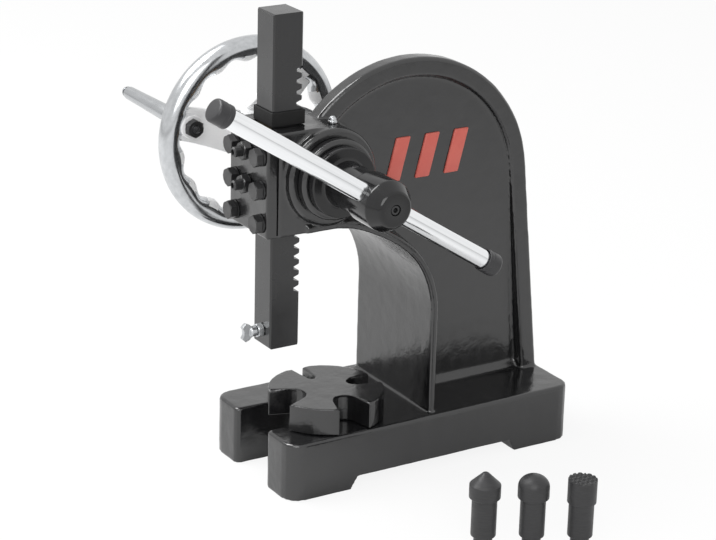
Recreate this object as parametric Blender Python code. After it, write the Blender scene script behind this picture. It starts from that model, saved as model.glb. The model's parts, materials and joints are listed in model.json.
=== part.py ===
"""Arbor press with a handwheel, a sliding lever bar and three loose pressing tips.

Metres, +Z up.  X runs across the press, with the lever on +X and the handwheel on -X.
-Y is the front, where the ram is, and +Y the column.  The origin is on the bench,
in the middle of the rear foot's underside.
"""

import math

import bmesh
import bpy
from mathutils import Matrix, Vector

# Clearances
seat_gap = 0.0003          # between two pieces that touch
running_gap = 0.00004      # round a turning shaft, at the flats of its bore
sliding_gap = 0.0002       # round the ram and the lever bar
overrun = 0.002            # how far a cut or a joined form runs past a face

# Base
base_length = 0.264
base_width = 0.122
base_height = 0.047
base_corner_radius = 0.013
base_edge_radius = 0.0022
slot_width = 0.0455
slot_centre_setback = 0.033
front_foot_length = 0.0553
rear_foot_length = 0.0554
foot_rise = 0.010
front_foot_slope = 0.0065
rear_foot_slope = 0.0046

# Ram and rack
ram_side = 0.0254
ram_length = 0.2628
ram_setback = 0.0214
ram_bottom_height = 0.108
ram_edge_chamfer = 0.0012
tooth_module = 0.00275
rack_gap_count = 21
rack_bottom_margin = 0.045
rack_phase = 0.0021                            # how far above the pinion's axis a gap lies at rest
rack_addendum = 0.0019
rack_dedendum = 0.0034
tooth_backlash = 0.0004
tip_bore_radius = 0.0072
tip_bore_depth = 0.030
clamp_screw_height = 0.0125

# Pinion and its shaft
pinion_tooth_count = 12
pinion_width = 0.025
pinion_height = 0.247
pressure_angle = math.radians(20)
near_journal_radius = 0.015
far_journal_radius = 0.012
hub_spigot_radius = 0.012
hub_spigot_length = 0.042
wheel_seat_radius = 0.010
wheel_thread_radius = 0.008
shaft_end_chamfer = 0.001

# Head of the casting
head_half_width = 0.0285
head_depth_below_pinion = 0.0435
head_front_setback = 0.005
head_edge_radius = 0.003
boss_radius = 0.038
boss_half_length = 0.036
chamber_half_width = 0.0142
chamber_radius = 0.0204

# Column
throat_face_setback = 0.1286
throat_radius = 0.0735
flange_half_width = 0.0555
flange_head_half_width = 0.0315
flange_edge_thickness = 0.0065
flange_root_thickness = 0.0125
flange_root_half_width = 0.009
web_thickness = 0.0086
web_fillet = 0.005
arch_radius = 0.1125
arch_centre_setback = 0.1345
arch_centre_drop = 0.0375
rim_thickness = 0.0155
rim_half_width = 0.008
rim_foot_half_width = 0.0145
rim_edge_chamfer = 0.0022
rim_lean = math.radians(5)

# Front cover, gib and their screws
cover_thickness = 0.0092
cover_edge_radius = 0.0015
gib_thickness = 0.0034
gib_side_gap = 0.0004
gib_end_margin = 0.0025
cover_bolt_spread = 0.0195
cover_bolt_rise = 0.0185
cover_bolt_pitch = 0.026
cover_bolt_radius = 0.004
cover_bolt_depth = 0.016
cover_bolt_flats = 0.013
cover_bolt_head = 0.0053
cover_washer_radius = 0.0074
cover_washer_thickness = 0.0014
adjusting_screw_radius = 0.004
adjusting_screw_stand = 0.0135
adjusting_socket_radius = 0.0023
adjusting_socket_depth = 0.004
lock_nut_flats = 0.013
lock_nut_thickness = 0.0065
screw_hole_gap = 0.0003

# Ram wiper
wiper_height = 0.0112
wiper_wall = 0.0013

# Bearings
far_bush_wall = 0.003
far_bush_flange_radius = 0.0205
far_bush_flange_thickness = 0.0028
bearing_cap_radius = 0.0315
bearing_cap_thickness = 0.0078
bearing_cap_spigot = 0.004
bearing_cap_edge = 0.0011
oil_cup_radius = 0.0036
oil_cup_height = 0.0052
oil_stem_radius = 0.0026
oil_stem_depth = 0.009
oil_cup_reach = 0.0215
oil_cup_setback = 0.0065
oil_pad_radius = 0.0052

# Lever hub
hub_collar_radius = 0.0272
hub_collar_length = 0.007
hub_neck_radius = 0.0176
hub_neck_length = 0.033
hub_head_radius = 0.0196
hub_head_length = 0.0375
hub_nose_length = 0.0115
hub_nose_drop = 0.0072
hub_bar_inset = 0.0225
hub_groove_depth = 0.0012
hub_pin_radius = 0.003
hub_pin_setback = 0.014
bar_screw_radius = 0.004
bar_screw_length = 0.0142
bar_screw_socket_depth = 0.0028

# Lever bar and its end caps
bar_radius = 0.0075
bar_front_reach = 0.1632
bar_rear_reach = 0.1249
bar_slope = math.radians(32.6)
cap_radius = 0.0090
cap_length = 0.0135
cap_end_wall = 0.0035
cap_lip = 0.0008

# Handwheel
wheel_plane = 0.094
wheel_radius = 0.079
wheel_rim_radius = 0.009
wheel_rim_wave = 0.0021
wheel_wave_count = 15
wheel_spoke_count = 3
wheel_hub_radius = 0.0195
wheel_hub_outer_length = 0.0085
spacer_length = 0.024
spacer_radius = 0.0165
spoke_thickness = 0.008
spoke_rim_width = 0.026
spoke_hub_width = 0.036
wheel_key_size = 0.005
wheel_key_length = 0.026
wheel_washer_radius = 0.0145
wheel_washer_thickness = 0.0022
wheel_nut_flats = 0.024
wheel_nut_thickness = 0.0085
wheel_thread_spare = 0.003

# Crank handle on the handwheel
crank_radius = 0.0575
crank_angle = math.radians(165.3)
crank_boss_radius = 0.0095
crank_boss_near = 0.010
crank_boss_far = 0.009
crank_spindle_radius = 0.003
crank_spindle_head_radius = 0.0044
crank_spindle_head_length = 0.003
crank_handle_length = 0.092
crank_handle_root_radius = 0.0068
crank_handle_end_radius = 0.0052
crank_nut_flats = 0.013
crank_nut_thickness = 0.006
crank_nut_spare = 0.0018

# Clamp screw at the ram's foot
clamp_screw_radius = 0.003
clamp_nut_flats = 0.010
clamp_nut_thickness = 0.005
clamp_neck_radius = 0.0042
clamp_neck_length = 0.0055
clamp_wing_length = 0.0068
clamp_wing_height = 0.015
clamp_wing_thickness = 0.0036

# Anvil plate
anvil_radius = 0.0455
anvil_thickness = 0.0215
anvil_offset = 0.016
anvil_setback = 0.058
anvil_core_radius = 0.0185
anvil_edge_radius = 0.0014
front_notch_inner = 0.0115
front_notch_mouth = 0.016
near_notch_inner = 0.0100
near_notch_mouth = 0.0135
rear_notch_inner = 0.0068
rear_notch_mouth = 0.0085
far_notch_inner = 0.0034
far_notch_mouth = 0.0046

# Loose pressing tips
tip_row_start = 0.1989
tip_row_setback = 0.0836
tip_row_pitch = 0.03565
tip_row_angle = math.radians(61.2)
tip_shank_radius = 0.007
tip_shank_length = 0.014
tip_body_radius = 0.0094
tip_body_length = 0.0303
tip_head_radius = 0.0117
tip_head_length = 0.0200
tip_cone_length = 0.0095
domed_head_length = 0.0183
serrated_body_length = 0.0268
serrated_head_radius = 0.0108
serrated_head_length = 0.0188
tip_edge_chamfer = 0.0012
serration_count = 4
serration_depth = 0.0016

# Shares of the size beside them
cup_neck_share = 0.8
screw_point_share = 0.72
socket_edge_share = 0.85
spindle_crown_share = 0.55
spindle_edge_share = 0.85
spindle_crown_length_share = 0.3
spoke_reach_share = 1.3
nose_shares = ((0.55, 0.28), (0.88, 0.72))     # along the hub's nose, and its drop there
throat_wide_share = 0.5                        # how much of the throat's bend keeps the full width

# Facets
round_steps = 32
small_round_steps = 18
screw_steps = 12
hex_steps = 12
wheel_stations = 60
rim_sides = 8
arc_steps = 8
flank_steps = 3

# Places worked out from the sizes above
base_front = rear_foot_length / 2 - base_length
ram_y = base_front + ram_setback
ram_front = ram_y - ram_side / 2
ram_rear = ram_y + ram_side / 2
pitch_radius = tooth_module * pinion_tooth_count / 2
pinion_y = ram_rear - rack_addendum + pitch_radius
head_front = base_front + head_front_setback
head_top = pinion_height + boss_radius
throat_face = base_front + throat_face_setback
head_bottom_height = pinion_height - head_depth_below_pinion
arch_centre = (base_front + arch_centre_setback, pinion_height - arch_centre_drop)
cover_back = head_front - seat_gap
cover_front = cover_back - cover_thickness
cap_face = boss_half_length + seat_gap + bearing_cap_thickness
hub_start = cap_face + seat_gap
hub_neck_start = hub_start + hub_collar_length
hub_head_start = hub_neck_start + hub_neck_length
hub_end = hub_head_start + hub_head_length
bar_x = hub_end - hub_bar_inset
spacer_start = boss_half_length + 2 * seat_gap + far_bush_flange_thickness
wheel_hub_start = spacer_start + spacer_length + seat_gap
wheel_hub_end = wheel_plane + wheel_hub_outer_length
crank_y = pinion_y + crank_radius * math.cos(crank_angle)
crank_z = pinion_height + crank_radius * math.sin(crank_angle)
crank_near_face = wheel_plane - crank_boss_near
crank_far_face = wheel_plane + crank_boss_far
clamp_z = ram_bottom_height + clamp_screw_height
anvil_bottom = base_height + seat_gap
anvil_top = anvil_bottom + anvil_thickness
first_bolt_z = head_top - cover_bolt_rise


def clear_scene():
    for old in list(bpy.data.objects):
        bpy.data.objects.remove(old, do_unlink=True)


def material(name, colour, roughness, metallic):
    """A plain Principled material: linear colour, roughness and metallic value."""
    found = bpy.data.materials.get(name) or bpy.data.materials.new(name)
    found.use_nodes = True
    shader = found.node_tree.nodes["Principled BSDF"]
    shader.inputs["Base Color"].default_value = (*colour, 1)
    shader.inputs["Roughness"].default_value = roughness
    shader.inputs["Metallic"].default_value = metallic
    return found


finishes = {
    "black paint": ((0.022, 0.022, 0.024), 0.28, 0),
    "ram steel": ((0.075, 0.075, 0.078), 0.42, 1),
    "bright steel": ((0.52, 0.52, 0.52), 0.32, 1),
    "chrome": ((0.82, 0.82, 0.83), 0.08, 1),
    "black oxide": ((0.018, 0.018, 0.019), 0.38, 1),
    "bronze": ((0.42, 0.26, 0.11), 0.35, 1),
    "brass": ((0.55, 0.38, 0.13), 0.3, 1),
    "black plastic": ((0.02, 0.02, 0.021), 0.5, 0),
    "black rubber": ((0.012, 0.012, 0.012), 0.7, 0),
}


def object_from(name, shape, finish=None, smooth=True):
    """Turn a bmesh into an object of the scene, with its faces pointing out."""
    bmesh.ops.recalc_face_normals(shape, faces=shape.faces)
    mesh = bpy.data.meshes.new(name)
    shape.to_mesh(mesh)
    shape.free()
    if smooth:
        mesh.shade_smooth()
        mesh.set_sharp_from_angle(angle=math.radians(32))
    made = bpy.data.objects.new(name, mesh)
    bpy.context.scene.collection.objects.link(made)
    if finish:
        mesh.materials.append(material(finish, *finishes[finish]))
    return made


def change(target, other, operation):
    """Join another closed form to the target, or cut it away."""
    step = target.modifiers.new(other.name, "BOOLEAN")
    step.operation = operation
    step.object = other
    other.hide_render = True
    other.display_type = "WIRE"


def join(target, *others):
    for other in others:
        change(target, other, "UNION")


def cut(target, *others):
    for other in others:
        change(target, other, "DIFFERENCE")


def place(axis, along, u, v):
    """A point from its distance along an axis and its two distances across it."""
    if axis == "X":
        return Vector((along, u, v))
    if axis == "Y":
        return Vector((u, along, v))
    return Vector((u, v, along))


def prism(shape, outline, axis, low, high):
    """Extrude a flat outline, given across the axis, from low to high."""
    lower = [shape.verts.new(place(axis, low, u, v)) for u, v in outline]
    upper = [shape.verts.new(place(axis, high, u, v)) for u, v in outline]
    shape.faces.new(lower)
    shape.faces.new(list(reversed(upper)))
    count = len(outline)
    for i in range(count):
        j = (i + 1) % count
        shape.faces.new((lower[i], upper[i], upper[j], lower[j]))
    return lower, upper


def prism_object(name, outline, axis, low, high, finish=None):
    shape = bmesh.new()
    prism(shape, outline, axis, low, high)
    return object_from(name, shape, finish)


def box_outline(u_low, u_high, v_low, v_high):
    return [(u_low, v_low), (u_high, v_low), (u_high, v_high), (u_low, v_high)]


def box_object(name, x, y, z, finish=None, bevel=0):
    """A box from its low and high along each axis, its edges chamfered if asked."""
    shape = bmesh.new()
    prism(shape, box_outline(x[0], x[1], y[0], y[1]), "Z", z[0], z[1])
    if bevel:
        bmesh.ops.bevel(shape, geom=shape.edges[:], offset=bevel, segments=1,
                        affect="EDGES", profile=0.5)
    return object_from(name, shape, finish)


def ring_points(radius, steps, start=0.0):
    return [(radius * math.cos(start + math.tau * i / steps),
             radius * math.sin(start + math.tau * i / steps)) for i in range(steps)]


def turned(shape, profile, axis, u, v, steps, closed=False):
    """Turn a profile of (along, radius) points about an axis through (u, v).

    An open profile starts and ends on the axis or in a flat face, and a closed one
    makes a ring.
    """
    rings = []
    for along, radius in profile:
        if radius == 0:
            rings.append([shape.verts.new(place(axis, along, u, v))])
        else:
            rings.append([shape.verts.new(place(axis, along, u + a, v + b))
                          for a, b in ring_points(radius, steps)])
    pairs = list(zip(rings, rings[1:]))
    if closed:
        pairs.append((rings[-1], rings[0]))
    for first, second in pairs:
        for i in range(steps):
            j = (i + 1) % steps
            corners = [first[i % len(first)], first[j % len(first)],
                       second[j % len(second)], second[i % len(second)]]
            unique = list(dict.fromkeys(corners))
            if len(unique) > 2:
                shape.faces.new(unique)
    if not closed:
        for end in (rings[0], rings[-1]):
            if len(end) > 1:
                shape.faces.new(end)


def turned_object(name, profile, axis, u, v, steps=round_steps, finish=None, closed=False):
    shape = bmesh.new()
    turned(shape, profile, axis, u, v, steps, closed)
    return object_from(name, shape, finish)


def bore_radius(radius, gap, steps):
    """The corner radius of a faceted bore whose flats clear a shaft by the gap."""
    return (radius + gap) / math.cos(math.pi / steps)


def arc(centre_u, centre_v, radius, start, end, steps):
    return [(centre_u + radius * math.cos(start + (end - start) * i / steps),
             centre_v + radius * math.sin(start + (end - start) * i / steps))
            for i in range(steps + 1)]


def set_origin(target, point):
    """Move an object's origin onto its joint's axis and leave its form in place."""
    target.data.transform(Matrix.Translation(-Vector(point)))
    target.location = point


# Frame casting

def base_plan():
    """The base seen from above: rounded corners and the U-shaped slot at the front."""
    half = base_width / 2
    rear = base_front + base_length
    r = base_corner_radius
    slot = slot_width / 2
    slot_y = base_front + slot_centre_setback
    quarter = math.pi / 2
    mouth = r / 3
    outline = []
    outline += arc(half - r, base_front + r, r, -quarter, 0, arc_steps // 2)
    outline += arc(half - r, rear - r, r, 0, quarter, arc_steps // 2)
    outline += arc(r - half, rear - r, r, quarter, math.pi, arc_steps // 2)
    outline += arc(r - half, base_front + r, r, math.pi, 3 * quarter, arc_steps // 2)
    outline += arc(-slot - mouth, base_front + mouth, mouth, -quarter, 0, 2)
    outline += arc(0, slot_y, slot, math.pi, 0, 2 * arc_steps)
    outline += arc(slot + mouth, base_front + mouth, mouth, math.pi, 3 * quarter, 2)
    return outline


def make_base():
    shape = bmesh.new()
    lower, upper = prism(shape, base_plan(), "Z", 0, base_height)
    edges = [e for e in shape.edges if e.verts[0] in upper and e.verts[1] in upper]
    bmesh.ops.bevel(shape, geom=edges, offset=base_edge_radius, segments=2,
                    affect="EDGES", profile=0.5)
    return object_from("frame_casting", shape, "black paint")


def foot_arch():
    """The cutter for the shallow arch between the front feet and the rear foot."""
    front_end = base_front + front_foot_length
    rear_end = -rear_foot_length / 2
    outline = [
        (front_end - front_foot_slope * overrun / foot_rise, -overrun),
        (front_end + front_foot_slope, foot_rise),
        (rear_end - rear_foot_slope, foot_rise),
        (rear_end + rear_foot_slope * overrun / foot_rise, -overrun),
    ]
    half = base_width / 2 + overrun
    return prism_object("foot_arch_cut", outline, "X", -half, half)


def throat_path():
    """Points and outward turns of the throat, from the base up and over to the head."""
    centre_y = throat_face - throat_radius
    centre_z = head_bottom_height - throat_radius
    path = [((throat_face, base_height - overrun), 0.0, 0.0)]
    path.append(((throat_face, (base_height + centre_z) / 2), 0.0, 0.0))
    for i in range(arc_steps + 1):
        turn = math.pi / 2 * i / arc_steps
        point = (centre_y + throat_radius * math.cos(turn), centre_z + throat_radius * math.sin(turn))
        path.append((point, turn, i / arc_steps))
    end = (pinion_y - boss_radius / 2, head_bottom_height)
    path.append((end, math.pi / 2, 1.0))
    return path


def make_flange():
    """The wide flange that faces the work, bent round the throat up to the head."""
    shape = bmesh.new()
    sections = []
    for (y, z), turn, share in throat_path():
        blend = max(0.0, (share - throat_wide_share) / (1 - throat_wide_share))
        blend = blend * blend * (3 - 2 * blend)
        half = flange_half_width + (flange_head_half_width - flange_half_width) * blend
        out = Vector((0, math.cos(turn), math.sin(turn)))
        base = Vector((0, y, z))
        trim = flange_edge_thickness / 4
        rows = [
            (-half + trim, 0), (half - trim, 0), (half, trim),
            (half, flange_edge_thickness - trim), (half - trim, flange_edge_thickness),
            (flange_root_half_width, flange_root_thickness),
            (-flange_root_half_width, flange_root_thickness),
            (-half + trim, flange_edge_thickness), (-half, flange_edge_thickness - trim),
            (-half, trim),
        ]
        sections.append([shape.verts.new(base + out * depth + Vector((x, 0, 0))) for x, depth in rows])
    skin(shape, sections)
    return object_from("flange_form", shape)


def skin(shape, sections):
    """Join like sections into one closed form with flat ends."""
    for first, second in zip(sections, sections[1:]):
        count = len(first)
        for i in range(count):
            j = (i + 1) % count
            shape.faces.new((first[i], first[j], second[j], second[i]))
    shape.faces.new(sections[0])
    shape.faces.new(list(reversed(sections[-1])))


def rim_path():
    """Outer points of the column's rim, each with its inward turn and its foot share."""
    y0, z0 = arch_centre
    lean_y = y0 + arch_radius * math.cos(rim_lean)
    lean_z = z0 + arch_radius * math.sin(rim_lean)
    foot_z = base_height - overrun
    foot_y = lean_y + (lean_z - foot_z) * math.tan(rim_lean)
    path = [(foot_y, foot_z, math.pi + rim_lean, 1.0)]
    last = math.pi - math.asin((head_top - rim_thickness - z0) / arch_radius)
    steps = 2 * arc_steps
    for i in range(steps + 1):
        turn = rim_lean + (last - rim_lean) * i / steps
        y = y0 + arch_radius * math.cos(turn)
        z = z0 + arch_radius * math.sin(turn)
        path.append((y, z, math.pi + turn, 0.0))
    return path


def make_rim():
    """The raised rim round the column's web, wider towards its foot."""
    shape = bmesh.new()
    sections = []
    c = rim_edge_chamfer
    for y, z, turn, share in rim_path():
        half = rim_half_width + (rim_foot_half_width - rim_half_width) * share
        inward = Vector((0, math.cos(turn), math.sin(turn)))
        rows = [
            (-half + c, 0), (half - c, 0), (half, c), (half, rim_thickness - c),
            (half - c, rim_thickness), (-half + c, rim_thickness),
            (-half, rim_thickness - c), (-half, c),
        ]
        base = Vector((0, y, z))
        sections.append([shape.verts.new(base + inward * depth + Vector((x, 0, 0))) for x, depth in rows])
    skin(shape, sections)
    return object_from("rim_form", shape)


def make_web():
    """The thin web inside the rim, with its front edge buried in the flange."""
    inset = rim_thickness / 2
    outline = [(y + inset * math.cos(turn), z + inset * math.sin(turn)) for y, z, turn, share in rim_path()]
    outline.append((pinion_y, pinion_height))
    bury = flange_edge_thickness / 2
    for (y, z), turn, share in reversed(throat_path()[:-1]):
        outline.append((y + bury * math.cos(turn), z + bury * math.sin(turn)))
    return prism_object("web_form", outline, "X", -web_thickness / 2, web_thickness / 2)


def make_web_fillet():
    """The chamfered foot where the web stands on the base."""
    half = web_thickness / 2
    outline = [
        (-half - web_fillet, base_height - overrun), (half + web_fillet, base_height - overrun),
        (half + web_fillet, base_height), (half, base_height + web_fillet),
        (-half, base_height + web_fillet), (-half - web_fillet, base_height),
    ]
    start = throat_face + flange_edge_thickness / 2
    end = arch_centre[0] + arch_radius
    return prism_object("web_fillet_form", outline, "Y", start, end)


def make_head_block():
    """The block round the ram, rounded along its outer edges."""
    shape = bmesh.new()
    low, high = head_bottom_height, head_top
    prism(shape, box_outline(head_front, pinion_y, low, high), "X", -head_half_width, head_half_width)
    edges = [e for e in shape.edges if all(v.co.y < ram_rear for v in e.verts)]
    edges = [e for e in edges if abs(e.verts[0].co.z - e.verts[1].co.z) > 0]
    bmesh.ops.bevel(shape, geom=edges, offset=head_edge_radius, segments=2, affect="EDGES", profile=0.5)
    return object_from("head_form", shape)


def make_boss():
    """The round boss across the head that carries the pinion shaft."""
    c = rim_edge_chamfer
    profile = [(-boss_half_length, boss_radius - c), (-boss_half_length + c, boss_radius),
               (boss_half_length - c, boss_radius), (boss_half_length, boss_radius - c)]
    return turned_object("boss_form", profile, "X", pinion_y, pinion_height)


def make_frame():
    frame = make_base()
    join(frame, make_flange(), make_rim(), make_web(), make_web_fillet(), make_head_block(), make_boss(),
         make_oil_pad())
    half = ram_side / 2 + sliding_gap
    channel = box_object(
        "ram_channel_cut", (-half, half), (head_front - overrun, ram_rear + sliding_gap),
        (head_bottom_height - overrun, head_top + overrun))
    chamber = turned_object(
        "pinion_chamber_cut",
        [(-chamber_half_width, chamber_radius), (boss_half_length + overrun, chamber_radius)],
        "X", pinion_y, pinion_height)
    far_bore = turned_object(
        "far_bore_cut",
        [(-boss_half_length - overrun, far_bush_outer() + seat_gap),
         (-chamber_half_width + overrun, far_bush_outer() + seat_gap)],
        "X", pinion_y, pinion_height)
    cut(frame, foot_arch(), channel, chamber, far_bore, make_bolt_holes(), make_oil_hole(), make_wiper_room())


def make_wiper_room():
    """The space on top of the head that the wiper needs, kept free of the rim's end."""
    reach = ram_side / 2 + sliding_gap + wiper_wall + seat_gap
    low = head_top + seat_gap
    return box_object("wiper_room_cut", (-reach, reach), (ram_y - reach, ram_y + reach),
                      (low, low + wiper_height + overrun))


def far_bush_outer():
    return far_journal_radius + far_bush_wall


def bolt_places():
    """The six cover bolts, as (x, z)."""
    return [(side * cover_bolt_spread, first_bolt_z - row * cover_bolt_pitch)
            for side in (-1, 1) for row in range(3)]


def make_bolt_holes():
    shape = bmesh.new()
    radius = cover_bolt_radius + screw_hole_gap
    for x, z in bolt_places():
        turned(shape, [(head_front - overrun, radius), (head_front + cover_bolt_depth + overrun, radius)],
               "Y", x, z, screw_steps)
    return object_from("bolt_holes_cut", shape)


def make_oil_pad():
    """The small flat pad on top of the head that the oil cup screws into."""
    profile = [(pinion_height, oil_pad_radius), (head_top, oil_pad_radius)]
    return turned_object("oil_pad_form", profile, "Z", oil_cup_reach, pinion_y + oil_cup_setback, screw_steps)


def make_oil_hole():
    radius = oil_stem_radius + screw_hole_gap
    bottom = pinion_height + chamber_radius - overrun
    profile = [(bottom, radius), (head_top + overrun, radius)]
    return turned_object("oil_hole_cut", profile, "Z", oil_cup_reach, pinion_y + oil_cup_setback, screw_steps)


# Front cover, gib and screws

def make_cover():
    low = head_bottom_height + seat_gap
    high = head_top - seat_gap
    shape = bmesh.new()
    half = head_half_width
    prism(shape, box_outline(-half, half, low, high), "Y", cover_front, cover_back)
    front = [e for e in shape.edges if all(v.co.y < cover_back - cover_thickness / 2 for v in e.verts)]
    bmesh.ops.bevel(shape, geom=front, offset=cover_edge_radius, segments=2, affect="EDGES", profile=0.5)
    cover = object_from("front_cover", shape, "black paint")
    holes = bmesh.new()
    span = [cover_front - overrun, cover_back + overrun]
    for x, z in bolt_places():
        turned(holes, [(y, cover_bolt_radius + screw_hole_gap) for y in span], "Y", x, z, screw_steps)
    for z in adjusting_rows():
        turned(holes, [(y, adjusting_screw_radius + screw_hole_gap) for y in span], "Y", 0, z, screw_steps)
    cut(cover, object_from("cover_holes_cut", holes))


def adjusting_rows():
    return [first_bolt_z - row * cover_bolt_pitch for row in range(2)]


def make_gib():
    half = ram_side / 2 + sliding_gap - gib_side_gap
    low = head_bottom_height + gib_end_margin
    high = head_top - gib_end_margin
    front = cover_back + seat_gap
    box_object("gib", (-half, half), (front, front + gib_thickness), (low, high), "brass")


def hexagon(flats):
    """A hexagon's corners with the middle of each side between them."""
    corner = flats / math.sqrt(3)
    return [(radius * math.cos(math.tau * i / hex_steps), radius * math.sin(math.tau * i / hex_steps))
            for i in range(hex_steps) for radius in ((flats / 2, corner)[i % 2],)]


def band(shape, levels, axis, ring):
    """Join rings given as (along, outline), and close the last one to the first for a ring."""
    loops = [[shape.verts.new(place(axis, along, u, v)) for u, v in outline] for along, outline in levels]
    pairs = list(zip(loops, loops[1:]))
    if ring:
        pairs.append((loops[-1], loops[0]))
    for first, second in pairs:
        for i in range(hex_steps):
            j = (i + 1) % hex_steps
            shape.faces.new((first[i], first[j], second[j], second[i]))
    if not ring:
        shape.faces.new(loops[0])
        shape.faces.new(loops[-1])


def make_nut(name, flats, thickness, axis, hole, finish, location):
    """A hexagon nut along an axis, its corners chamfered, standing on its location."""
    shape = bmesh.new()
    c = thickness / 7
    corners = hexagon(flats)
    circle = ring_points(flats / 2, hex_steps)
    inner = ring_points(hole, hex_steps)
    band(shape, [(0, inner), (0, circle), (c, corners), (thickness - c, corners), (thickness, circle),
                 (thickness, inner)], axis, True)
    nut = object_from(name, shape, finish)
    nut.location = location
    return nut


def copy_of(first, name, location):
    """A second piece with the first one's mesh."""
    made = bpy.data.objects.new(name, first.data)
    bpy.context.scene.collection.objects.link(made)
    made.location = location
    return made


def make_cover_bolts():
    """Six hexagon bolts with washers, their heads in front of the cover."""
    washer_back = cover_front - seat_gap
    head_back = washer_back - cover_washer_thickness - seat_gap
    c = cover_bolt_head / 8
    corners = hexagon(cover_bolt_flats)
    end = head_front + cover_bolt_depth - head_back
    shape = bmesh.new()
    circle = ring_points(cover_bolt_flats / 2, hex_steps)
    stem = ring_points(cover_bolt_radius, hex_steps)
    band(shape, [(-cover_bolt_head, circle), (c - cover_bolt_head, corners), (0, corners), (0, stem), (end, stem)],
         "Y", False)
    bolt = object_from("cover_bolt_1", shape, "black oxide")
    shape = bmesh.new()
    hole = ring_points(cover_bolt_radius + screw_hole_gap, hex_steps)
    rim = ring_points(cover_washer_radius, hex_steps)
    thick = cover_washer_thickness
    band(shape, [(0, hole), (0, rim), (thick, rim), (thick, hole)], "Y", True)
    washer = object_from("cover_washer_1", shape, "bright steel")
    for k, (x, z) in enumerate(bolt_places()):
        bolt_place = (x, head_back, z)
        washer_place = (x, washer_back - cover_washer_thickness, z)
        if k == 0:
            bolt.location = bolt_place
            washer.location = washer_place
        else:
            copy_of(bolt, "cover_bolt_%d" % (k + 1), bolt_place)
            copy_of(washer, "cover_washer_%d" % (k + 1), washer_place)


def make_adjusting_screws():
    """Two set screws that press the gib on the ram, each with its lock nut."""
    r = adjusting_screw_radius
    c = r / 4
    end = adjusting_screw_stand + cover_thickness
    profile = [(adjusting_socket_depth, 0), (adjusting_socket_depth, adjusting_socket_radius),
               (0, adjusting_socket_radius), (0, r - c), (c, r), (end - c, r), (end, r - c)]
    upper, lower = [(0, cover_front - adjusting_screw_stand, z) for z in adjusting_rows()]
    screw = turned_object("adjusting_screw_1", profile, "Y", 0, 0, screw_steps, "bright steel")
    screw.location = upper
    copy_of(screw, "adjusting_screw_2", lower)
    nut_y = cover_front - seat_gap - lock_nut_thickness
    nut = make_nut("lock_nut_1", lock_nut_flats, lock_nut_thickness, "Y",
                   adjusting_screw_radius + screw_hole_gap, "black oxide", (0, nut_y, upper[2]))
    copy_of(nut, "lock_nut_2", (0, nut_y, lower[2]))


def make_wiper():
    """The thin square sleeve round the ram on top of the head."""
    low = head_top + seat_gap
    high = low + wiper_height
    inner = ram_side / 2 + sliding_gap
    outer = inner + wiper_wall
    wiper = box_object("ram_wiper", (-outer, outer), (ram_y - outer, ram_y + outer), (low, high),
                       "black rubber")
    hole = box_object("wiper_hole_cut", (-inner, inner), (ram_y - inner, ram_y + inner),
                      (low - overrun, high + overrun))
    cut(wiper, hole)


# Ram

def rack_outline():
    """The ram seen from +X, with the rack's straight-sided teeth on its rear face."""
    low = ram_bottom_height
    high = low + ram_length
    pitch = math.pi * tooth_module
    pitch_line = ram_rear - rack_addendum
    root = pitch_line - rack_dedendum
    slope = math.tan(pressure_angle)
    half = pitch / 4 - tooth_backlash / 2
    tip_half = half - rack_addendum * slope
    root_half = half + rack_dedendum * slope
    c = ram_edge_chamfer
    outline = [(ram_front + c, low), (ram_rear - c, low), (ram_rear, low + c)]
    for z in rack_gap_places():
        outline += [(ram_rear, z - pitch / 2 + tip_half), (root, z - pitch / 2 + root_half),
                    (root, z + pitch / 2 - root_half), (ram_rear, z + pitch / 2 - tip_half)]
    outline += [(ram_rear, high - c), (ram_rear - c, high), (ram_front + c, high), (ram_front, high - c)]
    outline += [(ram_front, low + c)]
    return outline


def rack_gap_places():
    """The middles of the gaps, upwards from the one nearest to the ram's foot."""
    pitch = math.pi * tooth_module
    nearest = pinion_height + rack_phase
    below = math.floor((nearest - ram_bottom_height - rack_bottom_margin) / pitch)
    return [nearest + (k - below) * pitch for k in range(rack_gap_count)]


def make_ram():
    half = ram_side / 2
    c = ram_edge_chamfer
    ram = prism_object("ram", rack_outline(), "X", -half, half, "ram steel")
    chamfers = bmesh.new()
    low = ram_bottom_height - overrun
    high = ram_bottom_height + ram_length + overrun
    for side in (-1, 1):
        corner_x = side * half
        for y, inward in ((ram_front, 1), (ram_rear, -1)):
            far = overrun * inward
            past = corner_x + side * overrun
            outline = [(corner_x - side * c, y), (corner_x, y + c * inward), (past, y + c * inward),
                       (past, y - far), (corner_x - side * c, y - far)]
            prism(chamfers, outline, "Z", low, high)
    bore = turned_object(
        "tip_bore_cut",
        [(low, tip_bore_radius), (ram_bottom_height + tip_bore_depth, tip_bore_radius),
         (ram_bottom_height + tip_bore_depth + tip_bore_radius / 3, 0)],
        "Z", 0, ram_y, small_round_steps)
    hole = clamp_screw_radius + screw_hole_gap
    screw_hole = turned_object("clamp_hole_cut", [(ram_front - overrun, hole), (ram_y, hole)],
                               "Y", 0, clamp_z, screw_steps)
    cut(ram, object_from("ram_chamfer_cut", chamfers), bore, screw_hole)


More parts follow.
